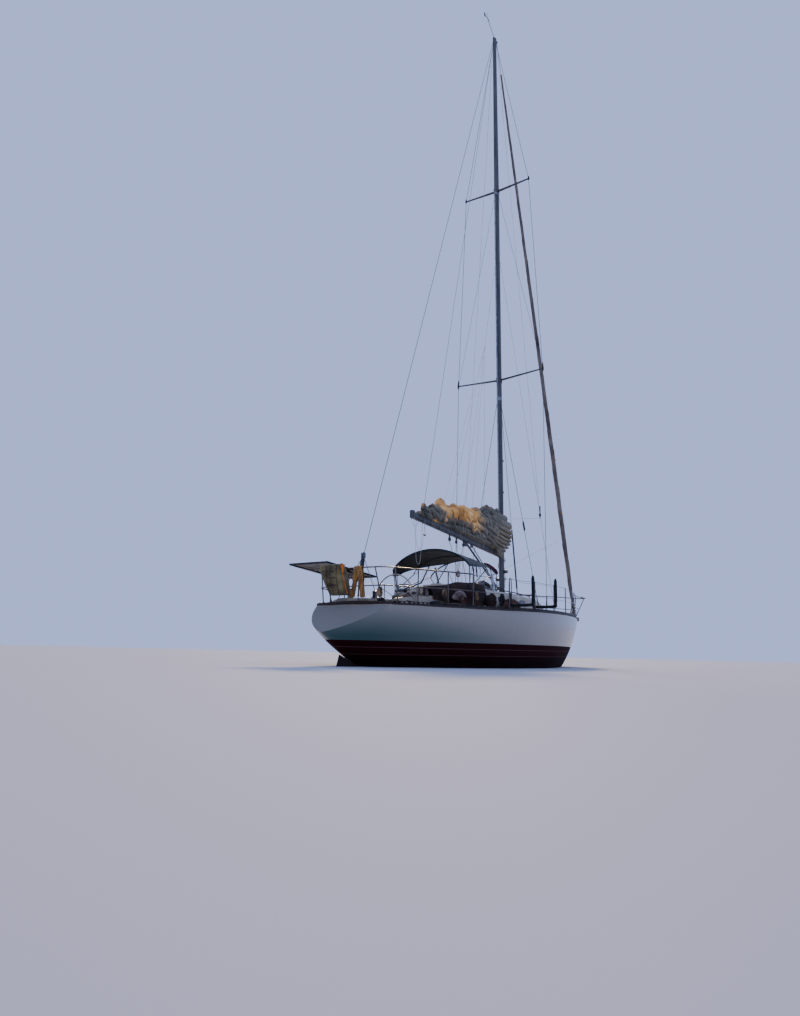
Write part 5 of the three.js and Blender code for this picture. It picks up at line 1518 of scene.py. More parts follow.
# Cockpit: wheel, pedestal, winches and cushions

wheelForm = {
    "centre": (-3.625, 0.0, 1.440), "radius": 0.500, "rim": 0.014, "spokes": 6,
    "dish": 0.012,  # how far the spokes bow forward between hub and rim
    "hub": [(0, 0.017), (0, 0.046), (0.008, 0.050), (0.052, 0.050), (0.060, 0.046), (0.060, 0.017)],
}


def wheelPoint(angle, reach, along=0.0):
    x, y, z = wheelForm["centre"]
    return x + along, y + reach * math.cos(angle), z + reach * math.sin(angle)


def makeWheel():
    thick = wheelForm["rim"]
    middle = wheelForm["radius"] - thick
    rim, seam = [tubeShape([wheelPoint(a, reach) for a in circle(96)], radius, sides, closed=True)
                 for reach, radius, sides in ((middle, thick, 12), (middle - thick, 0.0022, 6))]
    metal = []
    for a in circle(wheelForm["spokes"]):
        a += math.pi / 6
        spoke = [wheelPoint(a, 0.03), wheelPoint(a, 0.22, wheelForm["dish"]), wheelPoint(a, middle)]
        metal.append(bent(spoke, 0.007, 10))
        metal.append(collar(wheelPoint(a, middle - 0.012), wheelPoint(a, 1.0), 0.010, 0.008))
    x, y, z = wheelForm["centre"]
    metal.append(turned(wheelForm["hub"], (x - 0.030, y, z), (1, 0, 0), 32))
    makePiece("spokedWheel", [(rim, wheelLeather), (seam, tanRope), (metal, stainless)],
              body="steering_wheel", replaced=["steering_wheel"])


pedestalForm = {
    "foot": (-3.435, 0.0, 0.7703),
    # height over the foot, radius
    "column": [(0, 0.0), (0, 0.150), (0.012, 0.150), (0.025, 0.140), (0.060, 0.086), (0.12, 0.078),
               (0.640, 0.072), (0.665, 0.078), (0.700, 0.100), (0.720, 0.105), (0.780, 0.105), (0.790, 0.100),
               (0.790, 0.0)],
    "dome": [(0.790, 0.0), (0.790, 0.092), (0.812, 0.086), (0.838, 0.066), (0.858, 0.036), (0.868, 0.0)],
    # the guard's half hoop: off the centreline, height
    "guardX": -3.295,
    "guard": [(0.150, 0.7713), (0.155, 1.400), (0.148, 1.66), (0.120, 1.732), (0.06, 1.740)],
    "guardTube": 0.0125,
    "guardFoot": [(0, 0), (0, 0.036), (0.008, 0.034), (0.012, 0.015), (0.012, 0)],
    "axle": [(0, 0), (0, 0.0148), (0.150, 0.0148), (0.150, 0.034), (0.172, 0.034), (0.172, 0)],
    "nut": [(0, 0), (0, 0.010), (0.004, 0.016), (0.024, 0.024), (0.024, 0)],
    "lever": [(-3.44, -0.10, 1.40), (-3.44, -0.135, 1.42), (-3.46, -0.145, 1.52)],
    "knob": [(0, 0), (0, 0.012), (0.012, 0.018), (0.026, 0.016), (0.032, 0.008), (0.034, 0)],
    "dial": [(0, 0), (0, 0.038), (0.006, 0.036), (0.006, 0)],
    "podY": 0.068,
}


def makePedestal():
    form, guardX = pedestalForm, pedestalForm["guardX"]
    half = [(guardX, y, z) for y, z in form["guard"]]
    guard = bent(half + [(x, -y, z) for x, y, z in reversed(half)], form["guardTube"], 12, 5)
    x, y, z = wheelForm["centre"]
    metal = [guard, *[turned(form["guardFoot"], (guardX, side * 0.150, 0.7713)) for side in (1, -1)],
             turned(form["axle"], (x - 0.045, y, z), (1, 0, 0), 24),
             turned(form["nut"], (x - 0.060, y, z), (1, 0, 0), 24),
             boxShape((-3.375, -0.030, 1.482), (-3.290, 0.030, 1.498), 0.005),
             boxShape((guardX - 0.008, -0.152, 1.482), (guardX + 0.008, 0.152, 1.498), 0.005),
             bent(form["lever"], 0.007, 10)]
    knob = turned(form["knob"], (-3.460, -0.145, 1.512), (-0.2, -0.1, 1), 16)
    pods, dials = [], []
    for side in (1, -1):
        y = side * form["podY"]
        pods.append(boxShape((-3.360, y - 0.048, 1.520), (-3.300, y + 0.048, 1.640), 0.014, 3))
        dials.append(turned(form["dial"], (-3.3605, y, 1.582), (-1, 0, 0), 24))
    makePiece(
        "compassPedestal",
        [(turned(form["column"], form["foot"]), cabinGel), (turned(form["dome"], form["foot"]), smoked),
         (metal, stainless), ([knob, *pods], nylon), (dials, smoked)],
        replaced=["steering_pedestal"])


winchForm = {
    # share of the height, share of the radius
    "base": [(0, 0.0), (0, 1.08), (0.05, 1.10), (0.10, 1.08), (0.13, 1.0), (0.15, 0.92), (0.15, 0.0)],
    "drum": [(0.15, 0.0), (0.15, 0.80), (0.20, 0.73), (0.30, 0.69), (0.55, 0.67), (0.68, 0.70), (0.74, 0.78),
             (0.76, 0.86), (0.76, 0.0)],
    "cap": [(0.90, 0.0), (0.90, 0.62), (0.95, 0.58), (0.98, 0.42), (1.0, 0.20), (0.97, 0.16), (0.97, 0.0)],
    "jaws": [(0.76, 0.0), (0.76, 0.93), (0.79, 0.95), (0.815, 0.70), (0.84, 0.95), (0.875, 0.93),
             (0.90, 0.80), (0.90, 0.0)],
    "rib": [(0.24, 0.70), (0.66, 0.69)],
    # along and across in shares of the radius, up in shares of the height
    "arm": [(0, 0, 0.80), (-0.8, 0, 0.86), (-1.0, 0.2, 0.76)],
    # station, off the centreline, radius, height
    "places": {"fore": (-2.900, 1.085, 0.078, 0.180), "aft": (-3.900, 0.985, 0.060, 0.140)},
    "seat": 1.490, "skirt": 0.062,
}


def makeWinch(name, x, y, radius, height):
    seat, skirt = winchForm["seat"], winchForm["skirt"]

    def part(key):
        return turned([(h * height, r * radius) for h, r in winchForm[key]], (x, y, seat), sides=36)

    rows = [(0, 0), (0, 1.10 * radius), (skirt, 1.08 * radius), (skirt, 0)]
    metal = [turned(rows, (x, y, seat - 0.060), sides=36), part("base"), part("drum"), part("cap")]
    metal.append(bent([(x + along * radius, y + out * radius, seat + up * height)
                       for along, out, up in winchForm["arm"]], 0.006, 8))
    for a in circle(20):
        foot, head = [(x + r * radius * math.cos(a), y + r * radius * math.sin(a), seat + h * height)
                      for h, r in winchForm["rib"]]
        metal.append(rod(foot, head, 0.0025, 6))
    makePiece("drumWinch_" + name, [(metal, stainless), (part("jaws"), nylon)],
              replaced=["winch_" + name])


def makeWinches():
    for name, (x, y, radius, height) in winchForm["places"].items():
        for side, sideName in bothSides:
            makeWinch(name + "_" + sideName, x, side * y, radius, height)


# Cushions: boxed pads, crowned, with piping round both faces
cushionForm = {
    # body, low corner, high corner
    "pads": {
        "seatPad_port": ("seat_lid_port", (-3.140, 0.530, 1.312), (-2.410, 0.890, 1.368)),
        "seatPad_starboard": ("seat_lid_starboard", (-3.140, -0.890, 1.312), (-2.410, -0.530, 1.368)),
    },
    "crown": 0.014, "piping": 0.004,
    "square": 0.16,  # power of the outline, near none for square corners
}


def makeCushion(name, body, low, high):
    size = [h - l for l, h in zip(low, high)]
    middle = Vector([(h + l) / 2 for l, h in zip(low, high)])
    rings = []
    for t in stepped(0, 1, 20):
        edge = 0.90 + 0.10 * min(1.0, math.sqrt(t / 0.12 + 0.01), math.sqrt((1 - t) / 0.12 + 0.01))
        ring = []
        for a in circle(48):
            c, s = math.cos(a), math.sin(a)
            pull = 1 - 0.02 * math.sin(math.pi * t) * abs(c) ** 6
            x = middle.x + size[0] / 2 * curved(c, cushionForm["square"]) * edge * pull
            y = middle.y + size[1] / 2 * curved(s, cushionForm["square"]) * edge
            ring.append((x, y, low[2] + size[2] * t))
        rings.append(ring)
    piping = [tubeShape(ring, cushionForm["piping"], 6, closed=True) for ring in (rings[1], rings[-2])]
    top = rings[-1]
    for k in range(1, 8):
        share = 1 - k / 8
        rise = cushionForm["crown"] * (1 - share ** 2)
        rings.append([(middle.x + (x - middle.x) * share, middle.y + (y - middle.y) * share,
                       z + rise + 0.004 * rough(x * 6 * share, y * 6 * share, 3)) for x, y, z in top])
    pad = makePiece(name, [([skin(rings), *piping], cushionSkin)], body=body, angle=50)


def makeCushions():
    for name, (body, low, high) in cushionForm["pads"].items():
        makeCushion(name, body, low, high)


makeWheel()
makePedestal()
makeWinches()
makeCushions()
print("cockpit made")


# Under the dodger: a dark cloth along the coaming's head, rolled covers, rags and coiled tails

clutterForm = {
    # station, off the centreline and height of the ridge, the same at the foot
    "cloth": [(-3.780, 1.000, 1.575, 1.095, 1.345), (-3.390, 1.055, 1.665, 1.190, 1.335),
              (-3.050, 1.075, 1.750, 1.212, 1.330), (-2.680, 1.085, 1.810, 1.230, 1.325),
              (-2.300, 1.085, 1.825, 1.245, 1.330), (-2.020, 1.075, 1.840, 1.255, 1.340),
              (-1.750, 1.060, 1.855, 1.190, 1.420)],
    "inner": (0.07, -2.42),  # how far it laps inboard, up to which station; less ahead of it
    "thick": 0.003,
    "cut": (2.10, 0.56),  # length and width before it was laid over
    # each lump: finish, how full it is, then station, off the centreline, height, half width, half height
    "lumps": {
        "stowedAwningAft": (brownCloth, 0.6, [
            (-3.74, 1.030, 1.495, 0.03, 0.03), (-3.50, 1.060, 1.530, 0.060, 0.065),
            (-3.22, 1.080, 1.560, 0.065, 0.085), (-3.02, 1.085, 1.560, 0.045, 0.060)]),
        "stowedAwningFore": (brownCloth, 0.6, [
            (-2.79, 1.090, 1.580, 0.06, 0.070), (-2.60, 1.095, 1.640, 0.090, 0.125),
            (-2.32, 1.100, 1.655, 0.095, 0.135), (-2.06, 1.095, 1.650, 0.06, 0.100)]),
        "ragBundle": (pinkCloth, 0.4, [
            (-3.34, 1.265, 1.42, 0.03, 0.04), (-3.20, 1.270, 1.46, 0.05, 0.08),
            (-3.02, 1.275, 1.49, 0.055, 0.095), (-2.82, 1.280, 1.46, 0.045, 0.065)]),
        "deckBag": (brownCloth, 0.6, [
            (-2.03, 1.330, 1.39, 0.06, 0.08), (-1.90, 1.330, 1.45, 0.10, 0.145),
            (-1.76, 1.330, 1.46, 0.10, 0.155), (-1.63, 1.320, 1.42, 0.06, 0.11)]),
        "coverRoll": (rustCloth, 0.6, [
            (-1.20, 1.230, 1.38, 0.05, 0.06), (-0.95, 1.235, 1.435, 0.09, 0.11),
            (-0.55, 1.225, 1.45, 0.095, 0.125), (-0.20, 1.210, 1.42, 0.06, 0.09)]),
        "roofBundle": (brownCloth, 0.5, [
            (-1.76, 0.930, 1.800, 0.04, 0.040), (-1.58, 0.930, 1.855, 0.08, 0.085),
            (-1.35, 0.925, 1.850, 0.08, 0.080), (-1.14, 0.920, 1.820, 0.05, 0.050)]),
        "railBundle": (sleeve, 0.5, [
            (-4.13, 1.235, 1.262, 0.03, 0.025), (-4.02, 1.265, 1.275, 0.045, 0.040),
            (-3.92, 1.295, 1.275, 0.045, 0.038), (-3.80, 1.330, 1.262, 0.03, 0.022)]),
        "coamingRag": (pinkCloth, 0.4, [
            (-4.52, 0.850, 1.375, 0.03, 0.03), (-4.38, 0.870, 1.415, 0.06, 0.055),
            (-4.20, 0.895, 1.445, 0.065, 0.065), (-4.05, 0.920, 1.450, 0.04, 0.040)]),
        "seatRoll": (brownCloth, 0.6, [
            (-3.82, 0.930, 1.480, 0.04, 0.045), (-3.70, 0.930, 1.515, 0.075, 0.085),
            (-3.52, 0.940, 1.525, 0.075, 0.090), (-3.36, 0.950, 1.500, 0.05, 0.060)]),
        "sternBundle": (sleeve, 0.5, [
            (-5.00, 0.620, 1.262, 0.03, 0.025), (-4.93, 0.630, 1.285, 0.07, 0.045),
            (-4.84, 0.640, 1.270, 0.05, 0.030)]),
    },
}


def coverRow(x, ridgeY, ridgeZ, footY, footZ):
    inner, reach = clutterForm["inner"]
    if x >= reach:
        inner = max(0.02, inner - (x - reach) * 0.6)
    top = ridgeZ + 0.010 * math.sin(8 * x) + 0.012 * rough(x * 3, 2, 5)
    row = [(x, -ridgeY + inner * t, top - inner * 0.75 * t ** 1.6) for t in stepped(1, 0, 8)[:-1]]
    for t in stepped(0, 1, 18):
        fold = 0.016 * math.sin(11 * x + 3 * t) + 0.02 * rough(x * 4, t * 3, 1)
        fold *= math.sin(math.pi * min(t * 1.4, 1.0) / 2)
        hem = 0.030 * rough(x * 2.2, 4, 9) * t
        out = ridgeY + (footY - ridgeY) * t ** 0.42
        row.append((x, -out - abs(fold), top + (footZ - ridgeZ) * t + hem))
    return row


def makeCover():
    at = smoothRows(clutterForm["cloth"])
    start, end = clutterForm["cloth"][0][0], clutterForm["cloth"][-1][0]
    rows = [coverRow(x, *at(x)) for x in stepped(start, end, 60)]
    cover = thicken(skin(rows, wrapped=False), clutterForm["thick"])
    cloth = makePiece("lashedCover", [(cover, brownCloth)], angle=60)


def lumpShape(table, number):
    at = smoothRows(table)
    first, last = table[0][0], table[-1][0]
    rings = []
    for t in stepped(0, 1, 28):
        x = first + (last - first) * t
        y, z, wide, tall = at(x)
        close = math.sqrt(max(0.0, 1 - (2 * t - 1) ** 6)) * 0.97 + 0.03
        ring = []
        for a in circle(24):
            c, s = math.cos(a), math.sin(a)
            size = close * (1 + 0.30 * (ridge(x * 6, c * 1.6 + number, s * 1.6) - 0.55) * (s > -0.6))
            ring.append((x, -y + wide * c * size, z + tall * s * size))
        rings.append(ring)
    return skin(rings)


def makeLumps():
    for number, (name, (finish, fill, table)) in enumerate(clutterForm["lumps"].items()):
        bundle = makePiece(name, [(lumpShape(table, number), finish)], angle=60)


makeCover()
makeLumps()


# Rope tails made up in flat coils, each turn a little off the last
coilForm = [
    # centre, half width, half height, turns, thickness, finish, the way the coil faces
    ((-3.560, -1.215, 1.480), 0.050, 0.085, 5, 0.010, tanRope, (0.1, 1, 0)),
    ((-3.080, -1.370, 1.400), 0.090, 0.070, 6, 0.012, redRope, (0.1, 1, 0.5)),
    ((-2.560, -1.290, 1.560), 0.060, 0.095, 6, 0.011, redRope, (0.1, 1, 0.1)),
    ((-2.380, -1.290, 1.520), 0.045, 0.080, 5, 0.010, tanRope, (-0.1, 1, 0.1)),
    ((-1.450, -1.400, 1.500), 0.050, 0.140, 6, 0.012, blackRope, (0.2, 1, 0.1)),
    ((-5.010, -0.672, 1.430), 0.040, 0.095, 6, 0.011, tanRope, (0.2, 1, 0)),
    ((-4.060, -0.990, 1.520), 0.070, 0.085, 5, 0.012, tanRope, (0.3, 1, 0.2)),
    ((-4.300, -0.960, 1.455), 0.080, 0.050, 5, 0.012, whiteRope, (0.2, 1, 0.6)),
]


def coilShape(centre, across, up, turns, thickness, axis, seed):
    drift = random.Random(seed)
    out = Vector(axis).normalized()
    side = (Vector((1, 0, 0)) - out * out.x).normalized()
    over = out.cross(side)
    points = []
    for i in range(turns * 18 + 1):
        a = 2 * math.pi * i / 18
        wobble = 1 + 0.05 * math.sin(a * 0.37 + seed) + drift.uniform(-0.012, 0.012)
        points.append(Vector(centre) + side * math.cos(a) * across * wobble + over * math.sin(a) * up * wobble
                      + out * (i / 18 - turns / 2) * thickness * 1.1)
    return tubeShape(points, thickness / 2, 8)


def makeCoils():
    coils = {}
    for number, (centre, across, up, turns, thickness, finish, axis) in enumerate(coilForm):
        coils.setdefault(finish, []).append(coilShape(centre, across, up, turns, thickness, axis, number))
    makePiece("ropeCoils", [(shapes, finish) for finish, shapes in coils.items()])


# Deck hardware: ports, handrails, hatches, windlass, furling drum

deckForm = {
    "ports": [-1.45, -0.85, -0.25, 0.35],  # middles of the long cabin windows
    "portHalves": (0.18, 0.0425), "portZ": 1.560,
    # how much the rim and the pane are larger than the port, and how far each stands out
    "portRim": (0.014, 0.004), "portPane": (0.0, 0.007),
    "handrail": [(-0.55, 0.780), (0.10, 0.775), (0.75, 0.740), (1.40, 0.670)],
    "handrailLift": 0.060,
    "handrailPost": [(0, 0), (0, 0.030), (0.012, 0.022), (0.030, 0.012), (0.064, 0.012), (0.064, 0)],
    # station, half width at the deck, half width of the top, height of the top
    "cabin": [(-2.000, 1.120, 1.040, 1.815), (-1.000, 1.120, 1.040, 1.810), (0.000, 1.080, 1.000, 1.805),
              (1.165, 0.960, 0.880, 1.795), (1.900, 0.800, 0.720, 1.770), (2.400, 0.640, 0.560, 1.725),
              (2.780, 0.520, 0.430, 1.450)],
    "hatch": ((2.960, -0.290), (3.540, 0.290)),
    "windlassDrum": [(0, 0), (0, 0.055), (0.010, 0.057), (0.030, 0.040), (0.060, 0.036), (0.085, 0.050),
                     (0.090, 0.055), (0.090, 0)],
    "furler": [(0, 0), (0, 0.020), (0.100, 0.022), (0.105, 0.050), (0.112, 0.084), (0.126, 0.085),
               (0.132, 0.060), (0.135, 0.050), (0.236, 0.050), (0.240, 0.060), (0.246, 0.084), (0.262, 0.085),
               (0.268, 0.060), (0.275, 0.034), (0.485, 0.030), (0.495, 0.022), (0.495, 0)],
    "furlerZ": 1.452,
}
cabinRows = straightRows(deckForm["cabin"])


def cabinSide(x, z):
    foot, top, height = cabinRows(x)
    return foot + (top + 0.020 - foot) * (z - 1.190) / (height - 0.120 - 1.190)


def cabinTop(x, y):
    _, top, height = cabinRows(x)
    edges = [(0, 0.0), (top * 0.5, 0.014), (top - 0.040, 0.058), (top + 0.020, 0.120)]
    return float(np.interp(abs(y), [out for out, _ in edges], [height - drop for _, drop in edges]))


def portShape(x, side, grow, out):
    halfX, halfZ = deckForm["portHalves"]
    rings = []
    for lift in (-0.004, out):
        ring = []
        for a in circle(28):
            px = x + (halfX + grow) * curved(math.cos(a), 0.4)
            pz = deckForm["portZ"] + (halfZ + grow) * curved(math.sin(a), 0.4)
            ring.append((px, side * (cabinSide(px, pz) + lift), pz))
        rings.append(ring)
    return skin(rings)


def makeCabinDetails():
    rims, panes = [[portShape(x, side, *deckForm[key]) for side, _ in bothSides for x in deckForm["ports"]]
                   for key in ("portRim", "portPane")]
    makePiece("cabinPorts", [(rims, blackAlloy), (panes, smoked)])
    rails = []
    for side, _ in bothSides:
        feet = [(x, side * y, cabinTop(x, y)) for x, y in deckForm["handrail"]]
        rails.append(bent([(x, y, z + deckForm["handrailLift"]) for x, y, z in feet], 0.013))
        rails += [turned(deckForm["handrailPost"], (x, y, z - 0.004)) for x, y, z in feet]
    makePiece("cabinHandrails", [(rails, teakAlong)])


def makeHatches():
    (x0, y0), (x1, y1) = deckForm["hatch"]
    rim = [boxShape((x0, y0, 1.404), (x1, y1, 1.436), 0.012, 3)]
    rim += [rod((x0 + 0.004, y - 0.04, 1.440), (x0 + 0.004, y + 0.04, 1.440), 0.009, 12)
            for y in (-0.18, 0.18)]
    pane = boxShape((x0 + 0.045, y0 + 0.045, 1.430), (x1 - 0.045, y1 - 0.045, 1.448), 0.006)
    handles = [boxShape((x1 - 0.10, y - 0.035, 1.440), (x1 - 0.07, y + 0.035, 1.449), 0.004)
               for y in (-0.16, 0.16)]
    makePiece("foredeckSkylight", [(rim, alloy), (pane, smoked), (handles, nylon)],
              body="foredeck_hatch", replaced=["foredeck_hatch"])


def makeGroundTackle():
    works = [boxShape((4.562, -0.108, 1.395), (4.798, 0.108, 1.440), 0.012, 3),
             boxShape((4.622, -0.058, 1.430), (4.738, 0.058, 1.558), 0.022, 4),
             rod((4.70, 0.02, 1.545), (4.66, 0.02, 1.556), 0.012, 12)]
    drums = [turned(deckForm["windlassDrum"], (4.680, side * 0.058, 1.500), (0, side, 0)) for side in (1, -1)]
    makePiece("windlassWorks", [(works, alloy), (drums, bronze)], replaced=["windlass"])


def makeFurler():
    base, along = stayAt(deckForm["furlerZ"]), (stayAt(2.0) - stayAt(1.0)).normalized()
    side = along.orthogonal().normalized()
    over = along.cross(side)

    def around(a, up, radius):
        return base + along * up + (side * math.cos(a) + over * math.sin(a)) * radius

    line = [around(2 * math.pi * i / 20, 0.140 + 0.092 * i / 160, 0.056) for i in range(161)]
    guards = [bent([around(a, up, radius) for up, radius in ((0.110, 0.086), (0.190, 0.090), (0.262, 0.086))],
                   0.004, 8) for a in (0.4, 2.5, 4.6)]
    makePiece("furlingDrum",
              [(turned(deckForm["furler"], base, along, 32), nylon), (tubeShape(line, 0.0052, 6), whiteRope),
               (guards, stainless)],
              replaced=["furler_drum"])


makeCabinDetails()
makeHatches()
makeGroundTackle()
makeFurler()
print("deck gear made")


# Mast fittings and standing details

mastForm = {
    "foot": (1.165, 1.5), "rake": 0.02227,  # station and height; metre aft per metre up
    "halves": (0.0975, 0.0625),  # of its oval section
    "track": (3.10, 8.0, 13.4), "bands": (3.02, 7.20, 13.38),
    # along the mast, off its skin
    "band": [(-0.05, 0.001), (-0.045, 0.006), (0.045, 0.006), (0.05, 0.001)],
    "boot": [(1.832, 0.030), (1.85, 0.022), (1.90, 0.010), (1.98, 0.004), (1.985, 0.001)],
    "cleats": [(2.25, -1), (2.62, 1), (2.75, -1), (2.05, 1)],  # height, side
    "horn": [(0.098, -0.075), (0.104, -0.03), (0.104, 0.03), (0.098, 0.075)],  # off the middle, up
    "lamps": [(4.63, 0.022), (5.50, 0.026)],  # height, radius
    "topZ": 18.455,
    "tips": [(7.742, 1.311, 3.45, 0.17), (13.447, 1.018, 2.09, 0.08)],  # root, reach, lift in degrees, tall
}


def mastAt(z):
    return mastForm["foot"][0] - (z - mastForm["foot"][1]) * mastForm["rake"]


def mastBand(rows):
    halfX, halfY = mastForm["halves"]
    return skin([[(mastAt(z) + (halfX + off) * math.cos(a), (halfY + off) * math.sin(a), z)
                  for a in circle(32)] for z, off in rows])


def makeMastGear():
    track = [(0.100, -0.013), (0.100, 0.013), (0.112, 0.016), (0.112, -0.016)]
    metal = [skin([[(mastAt(z) - back, y, z) for back, y in track] for z in mastForm["track"]])]
    metal += [mastBand([(z + up, off) for up, off in mastForm["band"]]) for z in mastForm["bands"]]
    for z, side in mastForm["cleats"]:
        x = mastAt(z)
        metal.append(rod((x, side * 0.066, z), (x, side * 0.100, z), 0.010, 8))
        horn = [(x, side * out, z + up) for out, up in mastForm["horn"]]
        metal.append(tubeShape(horn, [0.006, 0.010, 0.010, 0.006], 8))
    dark = []
    for z, radius in mastForm["lamps"]:
        rows = [(0, 0), (0, radius * 1.2), (0.02, radius * 1.25), (0.06, radius * 0.95), (0.075, 0)]
        dark.append(turned(rows, (mastAt(z) + 0.100, 0, z), (1, 0, -0.25), 20))
    top = mastForm["topZ"]
    dark += [rod((0.80, y, top), (0.80, y + 0.010, top), 0.040, 16) for y in (-0.040, 0.030)]
    makePiece("mastDetails", [(metal, alloy), (mastBand(mastForm["boot"]), canvas), (dark, nylon)])
    tips = []
    for root, reach, lift, tall in mastForm["tips"]:
        x, z = mastAt(root), root + reach * math.tan(math.radians(lift))
        for side, _ in bothSides:
            y = side * reach
            tips.append(tubeShape([(x, y, z - tall * 0.5), (x, y + side * 0.006, z), (x, y, z + tall)],
                                  [0.016, 0.030, 0.012], 10))
    makePiece("spreaderBoots", [(tips, nylon)])


# Points along a straight run, at distances from its foot
def alongRun(foot, head, *distances):
    base = Vector(foot)
    way = (Vector(head) - base).normalized()
    return [base + way * distance for distance in distances]


# A turnbuckle over the lowest run of a stay: two forks and a body
def turnbuckle(foot, head):
    start, length, radius = rigForm["screw"]
    rows = [(0, 0), (0, radius * 0.7), (0.03, radius * 0.7), (0.035, radius), (0.09, radius),
            (0.10, radius * 0.8), (length - 0.10, radius * 0.8), (length - 0.09, radius),
            (length - 0.035, radius), (length - 0.03, radius * 0.6), (length, radius * 0.45), (length, 0)]
    return turned(rows, alongRun(foot, head, start)[0], Vector(head) - Vector(foot), 12)


# Round-bodied block: its two cheeks and its wheel
def blockShape(centre, size):
    centre, axis = Vector(centre), Vector((0, 1, 0))
    cheek, groove = [[(along * size, out * size) for along, out in rows] for rows in (
        [(0, 0), (0, 0.80), (0.12, 1), (0.22, 0.92), (0.22, 0)],
        [(0, 0), (0, 0.72), (0.09, 0.60), (0.18, 0.72), (0.18, 0)])]
    cheeks = [turned(cheek, centre + axis * side * 0.10 * size, axis * side, 20) for side in (1, -1)]
    return joined(*cheeks), turned(groove, centre - axis * size * 0.09, axis, 20)


rigForm = {
    "masthead": (0.745, 0.0, 18.400),
    "liftFoot": (-2.620, 0.0, 3.356),  # the topping lift's end on the boom
    "jackRing": (0.238, 0.0, 8.506),
    "jackHead": (0.870, 0.0, 11.40),
    "jackFeet": [-2.05, -1.55, -1.05, -0.45, 0.10],  # stations of their ends along the boom
    "jib": (4.743, 0.0, 3.752),
    "lowTip": (7.742, 1.303, 7.821),  # root of the spreader, then its tip off the centreline and its height
    "wire": 0.0040, "rope": 0.0045, "thin": 0.0032,
    # foot and head of the cap shroud and of the lower shroud
    "shrouds": [((1.000, 1.350, 1.358), (1.028, 1.311, 7.821)),
                ((1.100, 1.100, 1.374), (1.037, 0.030, 7.250))],
    "baby": ((2.060, 0, 1.758), (1.097, 0, 7.250)),
    "screw": (0.12, 0.30, 0.013),  # each turnbuckle: distance from the chainplate, length, radius
    "ballZ": 3.62,  # height of the fenders on the lower shrouds
    "fall": (1.165, -1.114, 3.887),  # the block that hangs beside the starboard shroud
    "swags": [  # slack lines beside the mast and from its foot to the side deck, each with its radius
        ([(1.262, -0.190, 2.285), (1.36, -0.50, 2.16), (1.42, -0.90, 2.12), (1.40, -1.38, 2.02)], 0.0042),
        ([(mastAt(2.6), -0.075, 2.62), (mastAt(2.4) - 0.02, -0.105, 2.30), (mastAt(2.2), -0.085, 2.02)],
         0.0045),
        ([(mastAt(3.9), 0.075, 3.95), (mastAt(3.0), 0.082, 2.90), (mastAt(2.2), 0.078, 2.10)], 0.0045)],
    "bar": [(1.42, -0.42, 1.86), (1.42, -0.70, 1.85), (1.44, -0.72, 1.87), (1.44, -0.74, 1.98)],
    # the covered tackle where the backstay splits
    "cover": [(-4.717, 0, 2.275), (-4.718, 0, 2.235), (-4.726, 0.006, 2.12), (-4.736, 0.014, 2.00),
              (-4.744, 0.020, 1.915), (-4.746, 0.021, 1.890)],
    "sheetBlocks": [(-1.454, 0.05), (-1.148, 0.045), (-0.817, 0.045)],  # station, size
    "traveller": (-0.500, 0.340, 2.250),
    "travellerSize": 0.082,
}


def makeRunningRigging():
    head, foot, ring = rigForm["masthead"], rigForm["liftFoot"], rigForm["jackRing"]
    lift = makePiece("toppingLift", [(rod(foot, head, rigForm["rope"], 6), wire)], body=None)
    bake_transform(lift)
    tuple(head)
    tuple(foot)
    jacks = [rod(rigForm["jackHead"], ring, rigForm["wire"], 6)]
    for number, x in enumerate(rigForm["jackFeet"]):
        y = 0.051 if number % 2 else -0.051
        jacks.append(rod(ring, boomAt(x, y, -0.02), rigForm["thin"], 6))
    jackPiece = makePiece("lazyJacks", [(jacks, whiteRope)], body=None)
    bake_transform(jackPiece)


